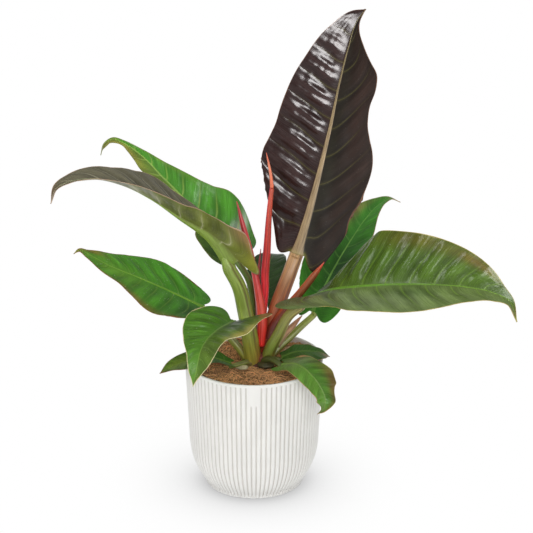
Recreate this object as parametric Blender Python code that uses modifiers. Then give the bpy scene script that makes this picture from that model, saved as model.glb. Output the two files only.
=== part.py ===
"""Potted philodendron: a ribbed pot, its coir, and a plant of eleven leaves.

Sizes are in millimetres and turn into metres where a mesh is made. +Z is up, the pot stands on the
origin, and the plant's front looks along -Y.
"""
import math
from dataclasses import dataclass

import bmesh
import bpy
import numpy as np

MM = 0.001
GAP = 0.3

# Pot
POT_HEIGHT = 134.8
RIM_RADIUS = 70.0
FOOT_RADIUS = 50.0
FOOT_HEIGHT = 4.0
WALL = 2.4
FLOOR = 3.0
SIDE_SLOPE = 0.048
BELLY_HEIGHT = 49.0
BELLY_DROP = 13.7
BELLY_POWER = 2.4
RIB_COUNT = 84
GROOVE_DEPTH = 0.8
GROOVE_HALF_WIDTH = 0.22
GROOVE_TOP = 131.6
PATCH_BOTTOM = 111.5
PATCH_HALF_ANGLE = 3.2
GROOVE_FADE = 1.2
INNER_HEIGHTS = (BELLY_HEIGHT, 28.0, 15.0)
CUT_MARGIN = 10.0

# Coir
COIR_LEVEL = 129.5
COIR_BUMP = 0.9
COIR_CRUMB = 0.4
COIR_SEGMENTS = 42
COIR_RINGS = 6
COIR_FOOT = 8.0

# Stem
CROWN = (6.0, 5.0)
HOLE_RADIUS = 19.0
HOLE_FLOOR = 92.0
STEM_SHOULDER = 124.0
STEM_TOP = 138.0
STEM_BEVEL = (6.0, 12.0)
STEM_DOME = ((0.0, 0.0), (7.0, 2.0), (13.0, 7.0))
STEM_SIDES = 24

# Blades
BLADE_THICKNESS = 0.8
LOBE_REACH = 0.3
CORNER = 0.6
CORNER_LIMIT = 0.1
COLLAR = 1.2
COLLAR_LIMIT = 0.75
ROW_SWEEP = 0.45
SIDE_CURVE = 1.6
TIP_HALF_WIDTH = 0.5
ROW_CROWDING = 1.15
KEEL_WIDTH = 0.8
KEEL_NARROWING = 2.0
KEEL_DEPTH = 1.5
KEEL_SHALLOWING = 5.0
KEEL_LIMIT = 0.3
INNER_PLACE = 0.6
INNER_SHARE = 0.45
COLLAR_COLUMNS = slice(3, 7)
KEEL_COLUMNS = slice(4, 6)

# Stalks
STALK_BEND = 1.5
STALK_STATIONS = 9
SHEATH_STATIONS = 10


@dataclass
class Leaf:
    """One leaf: the routes of its stalk and midrib, and its blade's half-widths from stalk to tip.

    Left and right are as seen from above while looking from the stalk to the tip. A slope is the angle
    in degrees by which a half rises from the midrib, at even steps from stalk to tip, and a lobe is how
    far a half reaches back past the stalk's end. A lobe skew under 1 sets the lobes nearer the stalk.
    """
    name: str
    stalk: tuple
    stalk_radius: tuple
    midrib: tuple
    left: tuple
    right: tuple
    left_slope: tuple
    right_slope: tuple
    lobes: tuple
    colour: tuple
    face: tuple = (0, 0, 1)
    sweep: float = ROW_SWEEP
    lobe_skew: float = 1.0
    rows: int = 12


@dataclass
class Sheath:
    """A rolled sheath or new leaf: a tapered spike along a route."""
    name: str
    route: tuple
    radii: tuple
    colour: tuple


DARK = (0.030, 0.020, 0.018)
GREEN = (0.060, 0.160, 0.030)
OLIVE = (0.090, 0.120, 0.040)

LEAVES = (
    Leaf("leaf_top_dark",
         stalk=((8, 6, 122), (14, 6, 152), (24, 5, 190), (36, 3, 226)), stalk_radius=(8.5, 7.0),
         midrib=((43, 4, 246), (57, 9, 296), (67, 15, 336), (76, 20, 375), (84, 26, 415), (93, 34, 451),
                 (101, 42, 475), (110, 50, 486)),
         left=(25, 31, 45, 60, 61, 57, 54, 53, 51, 48, 44, 39, 34, 28, 20, 11, 0),
         right=(33, 41, 41, 47, 51, 52, 50, 46, 41, 38, 40, 37, 28, 18, 9, 3, 0),
         left_slope=(-12, -2, 6), right_slope=(8, 26, 30), lobes=(4, 13), colour=DARK,
         face=(0, -1, 0.3), sweep=0.5, rows=17),
    Leaf("leaf_right",
         stalk=((12, -2, 124), (15, -6, 142), (25, -11, 166), (37, -14, 189)), stalk_radius=(6.5, 5.0),
         midrib=((46, -16, 204), (72, -28, 219), (103, -42, 229), (138, -54, 236), (172, -64, 240),
                 (206, -70, 240), (232, -74, 236), (248, -77, 229), (257, -79, 207)),
         left=(12, 30, 50, 51, 48, 39, 25, 7, 0), right=(24, 42, 52, 53, 48, 34, 20, 9, 0),
         left_slope=(-25, 55, 76, 70, 50), right_slope=(6, -2, -8, -10, -10, -11, -12, -12, -12),
         lobes=(0, 20), colour=OLIVE, rows=15),
    Leaf("leaf_back_right",
         stalk=((13, 5, 124), (20, 8, 136), (36, 18, 151), (50, 28, 163)), stalk_radius=(4.5, 3.2),
         midrib=((60, 34, 171), (81, 58, 207), (101, 82, 233), (116, 102, 248), (131, 120, 257),
                 (143, 130, 259), (153, 137, 253)),
         left=(20, 36, 32, 28, 20, 10, 0), right=(35, 42, 33, 24, 14, 7, 0),
         left_slope=(8, 12, 10), right_slope=(8, 12, 10), lobes=(8, 8), colour=GREEN),
    Leaf("leaf_upper_left",
         stalk=((5, 9, 124), (3, 10, 155), (0, 12, 180), (-5, 17, 212)), stalk_radius=(4.2, 3.2),
         midrib=((-20, 28, 239), (-38, 38, 257), (-56, 48, 273), (-73, 58, 292), (-88, 66, 306),
                 (-110, 76, 325), (-130, 84, 336), (-142, 90, 338), (-150, 92, 330), (-153, 93, 320)),
         left=(26, 25, 22, 14, 8, 7, 8, 10, 12, 12, 12, 9, 6, 3, 6, 5, 0),
         right=(26, 40, 32, 23, 16, 9, 4, 2, 0),
         left_slope=(-20, -36, -36, -30), right_slope=(40, 48, 40), lobes=(8, 8), colour=GREEN, rows=14),
    Leaf("leaf_mid_left",
         stalk=((0, 0, 124), (-4, -7, 160), (-9, -10, 190), (-16, -12, 220)), stalk_radius=(9.0, 6.8),
         midrib=((-20, -12, 243), (-44, -16, 272), (-72, -21, 291), (-101, -27, 312), (-128, -32, 329),
                 (-154, -37, 338), (-176, -41, 339), (-191, -45, 333), (-197, -47, 318)),
         left=(27, 37, 26, 23, 24, 24, 24, 24, 24, 22, 19, 16, 13, 10, 7, 4, 0),
         right=(14, 18, 31, 44, 36, 26, 18, 9, 0),
         left_slope=(50, 55, 47, 38, 30, 22, 15, 7, 0), right_slope=(30, 20, 20), lobes=(22, 8),
         lobe_skew=0.6, colour=DARK, rows=15),
    Leaf("leaf_lower_left",
         stalk=((-4, 1, 124), (-10, -2, 138), (-25, 0, 158), (-38, 4, 172)), stalk_radius=(4.5, 3.3),
         midrib=((-50, 6, 187), (-68, 0, 199), (-94, -9, 216), (-118, -18, 231), (-144, -26, 246),
                 (-163, -30, 259), (-172, -32, 264), (-177, -34, 261)),
         left=(16, 36, 43, 40, 31, 20, 14, 7, 0), right=(25, 34, 35, 32, 27, 21, 14, 6, 0),
         left_slope=(-22, -26, -20), right_slope=(30, 28, 20), lobes=(8, 8), colour=GREEN),
    Leaf("leaf_front_left",
         stalk=((-2, 3, 124), (-7, -2, 152), (-13, -11, 173)), stalk_radius=(3.8, 3.0),
         midrib=((-20, -25, 185), (-36, -55, 188), (-47, -76, 185), (-52, -92, 180), (-55, -102, 168),
                 (-59, -108, 151)),
         left=(52, 48, 42, 30, 18, 8, 0), right=(30, 34, 30, 21, 13, 8, 0),
         left_slope=(22, 18, 24, 10, 5), right_slope=(26, 12, 6, 10), lobes=(6, 8), colour=GREEN),
    Leaf("leaf_low_left",
         stalk=((-2, -4, 127), (-5, -8, 133.4), (-13, -14, 134)), stalk_radius=(3.0, 2.2),
         midrib=((-23, -20, 137), (-42, -24, 145), (-62, -30, 146), (-79, -36, 142), (-94, -42, 136)),
         left=(8, 15, 23, 21, 15, 7, 0), right=(8, 12, 12, 12, 11, 7, 0),
         left_slope=(0, 0, 0), right_slope=(20, 20, 10), lobes=(4, 4), colour=GREEN, sweep=0.4, rows=9),
    Leaf("leaf_front_right",
         stalk=((8, -4, 128), (12, -11, 137), (22, -24, 141)), stalk_radius=(4.0, 3.0),
         midrib=((29, -30, 141), (43, -46, 148), (55, -60, 145), (65, -68, 135), (71, -73, 121),
                 (68, -76, 110), (63, -78, 108)),
         left=(15, 18, 21, 26, 20, 8, 0), right=(13, 13, 14, 14, 12, 8, 0),
         left_slope=(10, 0, 0), right_slope=(-20, -20, 0), lobes=(12, 10), colour=GREEN, sweep=0.3,
         rows=11),
    Leaf("leaf_low_right",
         stalk=((16, 0, 127), (20, -4, 134.5)), stalk_radius=(3.0, 2.2),
         midrib=((28, -5, 138), (42, -2, 142), (58, 2, 141), (69, 5, 138), (77, 7, 133)),
         left=(7, 9, 10, 10, 8, 5, 0), right=(8, 13, 16, 17, 15, 8, 0),
         left_slope=(20, 20, 20), right_slope=(-10, -10, 0), lobes=(1, 3), colour=GREEN, sweep=0.4,
         rows=9),
    Leaf("leaf_back",
         stalk=((8, 13, 124), (8, 18, 152), (9, 22, 172)), stalk_radius=(3.5, 2.8),
         midrib=((9, 25, 183), (11, 45, 195), (14, 65, 205), (18, 85, 210), (22, 105, 207),
                 (26, 122, 197)),
         left=(12, 20, 20, 17, 12, 6, 0), right=(12, 20, 20, 17, 12, 6, 0),
         left_slope=(10, 8, 0), right_slope=(10, 8, 0), lobes=(8, 8), colour=GREEN, rows=9),
)

SHEATHS = (
    Sheath("sheath_left",
           route=((7, -3, 150), (8, -3, 180), (4, -3, 210), (1, -2, 226), (-4, 0, 252), (-9, 2, 270),
                  (-17, 6, 301)),
           radii=(4.2, 5.5, 4.5, 3.3, 3.0, 2.7, 0.4), colour=(0.50, 0.05, 0.06)),
    Sheath("sheath_centre",
           route=((9, 7, 150), (9, 8, 180), (11, 7, 210), (11, 5, 223), (13, 3, 250), (15, 1, 286),
                  (17, 0, 309), (18, 0, 317)),
           radii=(4.0, 4.0, 4.2, 4.2, 4.0, 3.4, 2.8, 2.2), colour=(0.45, 0.04, 0.07)),
    Sheath("sheath_small",
           route=((3, 5, 178), (4, 4, 209), (5, 4, 230), (7, 2, 252)),
           radii=(1.6, 1.9, 1.5, 0.4), colour=(0.30, 0.05, 0.05)),
    Sheath("sheath_right",
           route=((17, -5, 158), (21, -5, 172), (28, -6, 184), (37, -8, 197), (48, -10, 212),
                  (59, -12, 228), (70, -14, 244)),
           radii=(5.5, 5.5, 4.8, 4.0, 3.6, 3.0, 0.4), colour=(0.25, 0.06, 0.02)),
    Sheath("sheath_dry",
           route=((24, 5, 145), (31, 12, 155), (40, 18, 163), (49, 24, 171)),
           radii=(2.6, 3.4, 2.8, 0.4), colour=(0.45, 0.25, 0.12)),
)

NEW_LEAF = Sheath("new_leaf_roll",
                  route=((18, 0, 318), (17, 0, 330), (15, 0, 342), (12.5, 0, 354)),
                  radii=(1.9, 1.6, 1.1, 0.4), colour=(0.70, 0.18, 0.08))


def clear_scene():
    """Remove whatever the scene holds."""
    for thing in list(bpy.data.objects):
        bpy.data.objects.remove(thing, do_unlink=True)


def new_collection(name):
    """A collection linked to the scene."""
    group = bpy.data.collections.new(name)
    bpy.context.scene.collection.children.link(group)
    return group


def make_material(name, colour, roughness):
    """A Principled material of one colour."""
    material = bpy.data.materials.new(name)
    material.use_nodes = True
    shader = material.node_tree.nodes["Principled BSDF"]
    shader.inputs["Base Color"].default_value = (*colour, 1)
    shader.inputs["Roughness"].default_value = roughness
    return material


def add_object(name, data, group, material=None):
    """An object for the data, in the group, with the material."""
    thing = bpy.data.objects.new(name, data)
    group.objects.link(thing)
    if material:
        data.materials.append(material)
    return thing


def evaluated_mesh(thing, name):
    """The object's mesh with its modifiers applied."""
    graph = bpy.context.evaluated_depsgraph_get()
    graph.update()
    mesh = bpy.data.meshes.new_from_object(thing.evaluated_get(graph))
    mesh.name = name
    return mesh


def weld(mesh):
    """Join the points that lie on each other, such as those of a tube's loose caps."""
    shape = bmesh.new()
    shape.from_mesh(mesh)
    bmesh.ops.remove_doubles(shape, verts=shape.verts, dist=0.00001)
    bmesh.ops.recalc_face_normals(shape, faces=shape.faces)
    shape.to_mesh(mesh)
    shape.free()


def hermite(stations, values, places):
    """A smooth curve through the values at the stations, read at the places."""
    slope = np.gradient(values, stations, axis=0)
    k = np.clip(np.searchsorted(stations, places, side="right") - 1, 0, len(stations) - 2)
    step = (stations[k + 1] - stations[k])[:, None]
    u = (places - stations[k])[:, None] / step
    return (values[k] * (1 + 2 * u) * (1 - u) ** 2 + slope[k] * step * u * (1 - u) ** 2
            + values[k + 1] * u ** 2 * (3 - 2 * u) + slope[k + 1] * step * u ** 2 * (u - 1))


def along(values, t):
    """A value given at even steps from 0 to 1, read smoothly at t."""
    values = np.asarray(values, float)
    return hermite(np.linspace(0, 1, len(values)), values[:, None], t)[:, 0]


def smooth_route(points, t):
    """Points at the fractions t of the length of a smooth curve through the given points."""
    points = np.asarray(points, float)
    chord = np.concatenate([[0], np.cumsum(np.linalg.norm(np.diff(points, axis=0), axis=1))])
    fine = hermite(chord, points, np.linspace(0, chord[-1], 400))
    length = np.concatenate([[0], np.cumsum(np.linalg.norm(np.diff(fine, axis=0), axis=1))])
    return np.stack([np.interp(t * length[-1], length, fine[:, axis]) for axis in range(3)], 1)


def unit(vectors):
    """The vectors at length one."""
    return vectors / np.linalg.norm(vectors, axis=-1, keepdims=True)


def midrib_frame(leaf, t):
    """Points on the midrib with the directions along it, across it to the right, and out of the face."""
    step = 0.002
    mid = smooth_route(leaf.midrib, t)
    forward = unit(smooth_route(leaf.midrib, np.minimum(t + step, 1))
                   - smooth_route(leaf.midrib, np.maximum(t - step, 0)))
    across = unit(np.cross(forward, np.asarray(leaf.face, float)))
    return mid, forward, across, np.cross(across, forward)


def half_width(values, t):
    """A half's width along the blade."""
    return np.maximum(along(values, t), TIP_HALF_WIDTH)


def collar_place(leaf, widths, t):
    """The place, from midrib at 0 to margin at 1, up to which a half lies in front of the stalk."""
    return np.minimum((leaf.stalk_radius[1] + COLLAR) / half_width(widths, t), COLLAR_LIMIT)


def blade_face(leaf, t, s):
    """Points of the blade's upper face.

    t has one value for each row, from the stalk at 0 to the tip at 1. s has a value for each row and
    column, from the left margin at -1 over the midrib at 0 to the right margin at 1. A point stands
    off the midrib by its half-width times s along the half's slope, and is moved forward with
    s ** SIDE_CURVE, as side veins run. Near the stalk the points beside it are moved back by an arch of
    a sine, which makes the lobes, and those next to the margin forward by a quarter circle, which
    rounds the corners.
    """
    mid, forward, across, out = (part[:, None, :] for part in midrib_frame(leaf, t))
    right = s > 0
    width = np.where(right, half_width(leaf.right, t)[:, None], half_width(leaf.left, t)[:, None])
    slope = np.radians(np.where(right, along(leaf.right_slope, t)[:, None],
                                along(leaf.left_slope, t)[:, None]))[..., None]
    lobe = np.where(right, leaf.lobes[1], leaf.lobes[0])
    near = np.clip(1 - t / LOBE_REACH, 0, 1)[:, None] ** 2
    sweep = leaf.sweep * np.clip(2 * t / LOBE_REACH, 0, 1)[:, None]
    q = np.abs(s)
    sideways = np.where(right, 1, -1)[..., None] * across
    reach = (width * q)[..., None] * (np.cos(slope) * sideways + np.sin(slope) * out)
    collars = [collar_place(leaf, widths, t)[:, None] for widths in (leaf.left, leaf.right)]
    collar = np.where(right, collars[1], collars[0])
    beside = np.clip((q - collar) / (1 - collar), 0, 1) ** leaf.lobe_skew
    corner = np.clip((q - CORNER) / (1 - CORNER), 0, 1)
    length = np.linalg.norm(np.diff(leaf.midrib, axis=0), axis=1).sum()
    rounding = np.minimum((1 - CORNER) * width, CORNER_LIMIT * length) * (1 - np.sqrt(1 - corner ** 2))
    shift = sweep * width * q ** SIDE_CURVE + near * (rounding - lobe * np.sin(math.pi * beside))
    return mid + reach + shift[..., None] * forward


def grid_normals(points):
    """Unit normals of a grid of points, out of the face."""
    normal = np.cross(np.gradient(points, axis=1), np.gradient(points, axis=0))
    return unit(normal)


def closed_sheet(top, bottom):
    """Vertices and triangles of the closed body between two grids, both split along the same diagonals."""
    rows, columns = top.shape[:2]
    index = np.arange(rows * columns).reshape(rows, columns)
    a, b, c, d = index[:-1, :-1], index[:-1, 1:], index[1:, 1:], index[1:, :-1]
    upper = np.concatenate([np.stack([a, b, c], -1).reshape(-1, 3), np.stack([a, c, d], -1).reshape(-1, 3)])
    lower = upper[:, ::-1] + rows * columns
    edge = np.concatenate([index[0, :-1], index[:-1, -1], index[-1, :0:-1], index[:0:-1, 0]])
    after = np.roll(edge, -1)
    below, after_below = edge + rows * columns, after + rows * columns
    rim = np.concatenate([np.stack([edge, below, after_below], -1), np.stack([edge, after_below, after], -1)])
    vertices = np.concatenate([top.reshape(-1, 3), bottom.reshape(-1, 3)])
    return vertices, np.concatenate([upper, lower, rim])


def mesh_from(name, vertices, faces):
    """A mesh from vertices in millimetres."""
    mesh = bpy.data.meshes.new(name)
    mesh.from_pydata((vertices * MM).tolist(), [], faces.tolist())
    mesh.update()
    return mesh


def half_columns(leaf, widths, t):
    """Places of a half's columns for each row: the keel's edge, the collar, two between, and the margin.

    Away from the stalk the collar's column stands partway between the keel and the next column.
    """
    keel = leaf.stalk_radius[1] * KEEL_WIDTH * (1 - t) ** KEEL_NARROWING + TIP_HALF_WIDTH
    keel = np.minimum(keel / half_width(widths, t), KEEL_LIMIT)
    near = np.clip(1 - t / LOBE_REACH, 0, 1)
    collar = (keel + (INNER_PLACE - keel) * INNER_SHARE) * (1 - near) + collar_place(leaf, widths, t) * near
    middle = np.maximum(INNER_PLACE, (1 + collar) / 2)
    return np.stack([keel, collar, middle, (1 + middle) / 2, np.ones_like(t)], 1)


def blade_mesh(leaf):
    """The blade as a closed body: a folded sheet with its midrib standing out below as a keel."""
    t = np.linspace(0, 1, leaf.rows) ** ROW_CROWDING
    columns = [half_columns(leaf, widths, t) for widths in (leaf.left, leaf.right)]
    top = blade_face(leaf, t, np.concatenate([-columns[0][:, ::-1], columns[1]], 1))
    out = midrib_frame(leaf, t)[3]
    bottom = top - BLADE_THICKNESS * grid_normals(top)
    bottom[0, COLLAR_COLUMNS] = top[0, COLLAR_COLUMNS] - BLADE_THICKNESS * out[0]
    keel_depth = leaf.stalk_radius[1] * KEEL_DEPTH * (1 - t) ** KEEL_SHALLOWING
    bottom[:, KEEL_COLUMNS] -= keel_depth[:, None, None] * out[:, None, :]
    return mesh_from(leaf.name, *closed_sheet(top, bottom))


def tube(name, route, radii, group, material=None, sides=2):
    """A closed tube along a route of millimetre points, as a mesh object."""
    curve = bpy.data.curves.new(name, "CURVE")
    curve.dimensions = "3D"
    curve.bevel_depth = 1.0
    curve.bevel_resolution = sides
    curve.use_fill_caps = True
    spline = curve.splines.new("POLY")
    spline.points.add(len(route) - 1)
    for point, place, radius in zip(spline.points, route, radii):
        point.co = (*(float(value) * MM for value in place), 1)
        point.radius = float(radius) * MM
    guide = add_object(name, curve, group)
    mesh = evaluated_mesh(guide, name)
    bpy.data.objects.remove(guide)
    weld(mesh)
    for polygon in mesh.polygons:
        polygon.use_smooth = True
    return add_object(name, mesh, group, material)


def stalk_route(leaf):
    """The stalk's route: from the stem to its end under the blade, in line with the midrib."""
    mid, forward, _, out = midrib_frame(leaf, np.array([0.0]))
    radius = leaf.stalk_radius[1]
    seat = mid[0] - out[0] * (BLADE_THICKNESS + radius + GAP)
    end = seat - forward[0] * GAP
    bend = seat - forward[0] * radius * STALK_BEND
    return np.concatenate([smooth_route((*leaf.stalk, bend), np.linspace(0, 1, STALK_STATIONS)), end[None]])


def turned(name, profile, steps):
    """A mesh turned about Z from a profile of (radius, height) that runs down its outer side."""
    outline = bpy.data.meshes.new(name)
    points = [(radius * MM, 0, height * MM) for radius, height in profile]
    outline.from_pydata(points, [(k, k + 1) for k in range(len(points) - 1)], [])
    guide = bpy.data.objects.new(name, outline)
    bpy.context.scene.collection.objects.link(guide)
    screw = guide.modifiers.new("turn", "SCREW")
    screw.steps = steps
    screw.render_steps = steps
    screw.use_merge_vertices = True
    screw.merge_threshold = 0.00005
    mesh = evaluated_mesh(guide, name)
    bpy.data.objects.remove(guide)
    return mesh


def side_radius(height):
    """The pot's outer radius: a straight flare with the belly's curve taken off below."""
    straight = RIM_RADIUS - SIDE_SLOPE * (POT_HEIGHT - height)
    low = np.clip((BELLY_HEIGHT - height) / (BELLY_HEIGHT - FOOT_HEIGHT), 0, 1)
    return straight - BELLY_DROP * low ** BELLY_POWER


def flute(mesh):
    """Press the grooves into the turned pot and draw each groove's two edges together.

    Three columns of points make a rib: its groove and the two edges beside it. The two grooves of the
    front patch stop at the patch, and every groove ends just below the rim.
    """
    points = np.empty(len(mesh.vertices) * 3)
    mesh.vertices.foreach_get("co", points)
    x, y, z = points.reshape(-1, 3).T / MM
    radius = np.hypot(x, y)
    pitch = 2 * math.pi / RIB_COUNT
    column = np.rint(np.arctan2(y, x) / (pitch / 3)).astype(int)
    place = column % 3
    turn = (column - place) / 3 * pitch + pitch / 2 + np.choose(place, (0, GROOVE_HALF_WIDTH,
                                                                        1 - GROOVE_HALF_WIDTH)) * pitch
    front = np.abs(np.angle(np.exp(1j * (turn + math.pi / 2)))) < math.radians(PATCH_HALF_ANGLE)
    top = np.where(front, PATCH_BOTTOM, GROOVE_TOP)
    depth = GROOVE_DEPTH * (place == 0) * np.clip((top - z) / GROOVE_FADE, 0, 1)
    radius = np.where(radius > FOOT_RADIUS / 2, radius - depth, radius)
    moved = np.stack([radius * np.cos(turn), radius * np.sin(turn), z], 1) * MM
    mesh.vertices.foreach_set("co", moved.ravel())
    mesh.update()


def build_pot(group, cutters):
    """The pot: a fluted outer body with a plain turned hollow cut from it."""
    belly = BELLY_HEIGHT + (FOOT_HEIGHT - BELLY_HEIGHT) * np.array((0, 0.4, 0.72, 1))
    heights = (POT_HEIGHT, GROOVE_TOP, GROOVE_TOP - GROOVE_FADE, PATCH_BOTTOM, PATCH_BOTTOM - GROOVE_FADE,
               *belly)
    side = [(side_radius(height), height) for height in heights]
    outer = [(0, POT_HEIGHT), *side, (FOOT_RADIUS, 0), (0, 0)]
    mesh = turned("pot", outer, 3 * RIB_COUNT)
    flute(mesh)
    pot = add_object("pot", mesh, group, make_material("pot_white", (0.85, 0.84, 0.81), 0.45))
    inner_heights = (POT_HEIGHT, *INNER_HEIGHTS, FOOT_HEIGHT + FLOOR)
    inner = [(side_radius(height) - WALL, height) for height in inner_heights]
    over = POT_HEIGHT + CUT_MARGIN
    inside = [(0, over), (inner[0][0], over), *inner, (FOOT_RADIUS - WALL, FLOOR), (0, FLOOR)]
    hollow = turned("pot_hollow", inside, RIB_COUNT)
    cutter = add_object("pot_hollow", hollow, cutters)
    cut(pot, cutter)
    return pot


def cut(thing, cutter):
    """Cut the cutter from the thing, and hide the cutter."""
    cutter.hide_render = True
    cutter.display_type = "WIRE"
    modifier = thing.modifiers.new("cut_" + cutter.name, "BOOLEAN")
    modifier.object = cutter
    modifier.solver = "EXACT"


def build_coir(group):
    """The coir: a turned filling with a lumpy top and a round hole for the stem."""
    edge = [(side_radius(height) - WALL - 2 * GAP, height) for height in (*INNER_HEIGHTS, COIR_FOOT)]
    rim = side_radius(COIR_LEVEL) - WALL - 2 * GAP
    rings = np.linspace(HOLE_RADIUS + GAP, rim, COIR_RINGS)
    top = [(radius, COIR_LEVEL) for radius in rings]
    bottom = FLOOR + GAP
    profile = [(0, HOLE_FLOOR), (HOLE_RADIUS + GAP, HOLE_FLOOR), *top, *edge,
               (FOOT_RADIUS - WALL - 3 * GAP, bottom), (0, bottom)]
    mesh = turned("coir", profile, COIR_SEGMENTS)
    points = np.empty(len(mesh.vertices) * 3)
    mesh.vertices.foreach_get("co", points)
    points = points.reshape(-1, 3) / MM
    x, y, z = points.T
    radius = np.hypot(x, y)
    lumps = np.sin(0.31 * x + 0.6) * np.cos(0.27 * y - 0.4)
    crumbs = np.sin(0.7 * x - 0.5 * y)
    bump = COIR_BUMP * lumps + COIR_CRUMB * crumbs
    points[:, 2] = np.where(z > COIR_LEVEL - 1, z + bump, z)
    hole = radius < HOLE_RADIUS + 2 * GAP
    blend = np.where(hole | (z < HOLE_FLOOR + 1) & (radius < HOLE_RADIUS + 1), 1,
                     np.clip((rim - radius) / (rim - HOLE_RADIUS), 0, 1))
    blend = np.where(z > HOLE_FLOOR - 1, blend, 0)
    points[:, 0] += CROWN[0] * blend
    points[:, 1] += CROWN[1] * blend
    mesh.vertices.foreach_set("co", (points * MM).ravel())
    mesh.update()
    return add_object("coir", mesh, group, make_material("coir_brown", (0.20, 0.09, 0.04), 0.95))


def join(name, pieces, group, material):
    """Join the pieces of a collection in one body by a Boolean union, and remove them."""
    parts = new_collection(name + "_parts")
    for piece in pieces[1:]:
        group.objects.unlink(piece)
        parts.objects.link(piece)
    modifier = pieces[0].modifiers.new("join", "BOOLEAN")
    modifier.operation = "UNION"
    modifier.operand_type = "COLLECTION"
    modifier.collection = parts
    modifier.solver = "MANIFOLD"
    mesh = evaluated_mesh(pieces[0], name)
    for piece in pieces:
        bpy.data.objects.remove(piece)
    bpy.data.collections.remove(parts)
    mesh.materials.clear()
    return add_object(name, mesh, group, material)


def build_stem(group, cutters, sheaths):
    """The stem with its eleven stalks in one body, with a socket where each sheath stands."""
    floor = HOLE_FLOOR + GAP
    dome = [(radius, STEM_TOP - drop) for radius, drop in STEM_DOME]
    foot = [*dome, (HOLE_RADIUS, STEM_SHOULDER), (HOLE_RADIUS, floor + STEM_BEVEL[1]),
            (HOLE_RADIUS - STEM_BEVEL[0], floor), (0, floor)]
    mesh = turned("stem", foot, STEM_SIDES)
    for vertex in mesh.vertices:
        vertex.co.x += CROWN[0] * MM
        vertex.co.y += CROWN[1] * MM
    pieces = [add_object("stem", mesh, group)]
    for leaf in LEAVES:
        route = stalk_route(leaf)
        radii = np.linspace(*leaf.stalk_radius, len(route))
        pieces.append(tube("stalk_of_" + leaf.name, route, radii, group))
    stem = join("stem_and_stalks", pieces, group, make_material("stalk_green", (0.18, 0.20, 0.04), 0.4))
    for sheath in sheaths:
        route = np.asarray(sheath.route, float)
        route[0] -= unit(route[1] - route[0]) * GAP
        t = np.linspace(0, 1, SHEATH_STATIONS)
        radii = along(sheath.radii, t) + GAP
        cut(stem, tube("socket_of_" + sheath.name, smooth_route(route, t), radii, cutters))
    return stem


def build_sheath(sheath, group):
    """A sheath or rolled leaf as a tapered tube."""
    t = np.linspace(0, 1, SHEATH_STATIONS)
    material = make_material(sheath.name + "_skin", sheath.colour, 0.4)
    return tube(sheath.name, smooth_route(sheath.route, t), along(sheath.radii, t), group, material)


def main():
    """Build the pot, its coir and the plant."""
    clear_scene()
    plant = new_collection("potted_philodendron")
    cutters = new_collection("cutters")
    build_pot(plant, cutters)
    build_coir(plant)
    build_stem(plant, cutters, SHEATHS)
    for sheath in (*SHEATHS, NEW_LEAF):
        build_sheath(sheath, plant)
    for leaf in LEAVES:
        add_object(leaf.name, blade_mesh(leaf), plant, make_material(leaf.name + "_skin", leaf.colour, 0.3))


main()
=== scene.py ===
"""Looks for a potted philodendron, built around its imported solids.

Shapes are worked out in millimetres and turn into metres where a mesh is made. +Z is up and the
plant's front looks along -Y.
"""

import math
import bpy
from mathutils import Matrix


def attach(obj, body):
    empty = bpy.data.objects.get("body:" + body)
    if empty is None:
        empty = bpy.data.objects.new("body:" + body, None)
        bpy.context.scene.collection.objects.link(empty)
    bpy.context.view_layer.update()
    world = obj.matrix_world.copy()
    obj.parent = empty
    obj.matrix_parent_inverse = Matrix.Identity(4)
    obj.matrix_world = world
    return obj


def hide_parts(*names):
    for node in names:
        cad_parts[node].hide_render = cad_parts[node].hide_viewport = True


bl_info = {
    "name": "Potted philodendron",
    "version": (1, 0, 0),
    "blender": (4, 5, 0),
    "location": "3D View > Sidebar > Plant",
    "description": "Builds the looks of a potted philodendron around its packed solids",
    "category": "Object",
}

from dataclasses import dataclass, field

import bpy
import numpy as np
from bpy.props import FloatProperty, FloatVectorProperty, IntProperty, PointerProperty
from mathutils import Vector

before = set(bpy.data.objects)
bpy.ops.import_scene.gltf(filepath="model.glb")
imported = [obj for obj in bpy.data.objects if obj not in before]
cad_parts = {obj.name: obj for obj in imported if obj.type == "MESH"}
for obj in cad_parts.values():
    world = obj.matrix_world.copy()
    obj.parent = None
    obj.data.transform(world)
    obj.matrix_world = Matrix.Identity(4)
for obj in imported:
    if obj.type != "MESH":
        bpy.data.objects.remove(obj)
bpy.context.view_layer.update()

MM = 0.001
GAP = 0.3

# Pot
FOOT_RADIUS = 50.0
FOOT_HEIGHT = 4.0
WALL = 2.4
FLOOR = 3.0
SIDE_SLOPE = 0.048
BELLY_HEIGHT = 49.0
BELLY_DROP = 13.7
BELLY_POWER = 2.4
GROOVE_TOP = 132.2
PATCH_BOTTOM = 111.5
PATCH_HALF_ANGLE = 3.2

# Where the lights look
PLANT_MIDDLE = (0.0, 0.0, 0.27)

# Blades
LOBE_REACH = 0.3
CORNER = 0.6
CORNER_LIMIT = 0.1
COLLAR = 1.2
COLLAR_LIMIT = 0.75
SIDE_CURVE = 1.6
TIP_HALF_WIDTH = 0.5
# How strongly the pleats are painted lighter on their backs and darker in their hollows: painted highlight and shade.
PLEAT_PAINTED_LIGHT = 0.35


def linear(red, green, blue):
    """A colour given by screen values from 0 to 255, as linear light."""
    screen = np.array((red, green, blue)) / 255
    return tuple(np.where(screen < 0.04045, screen / 12.92, ((screen + 0.055) / 1.055) ** 2.4))


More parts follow.
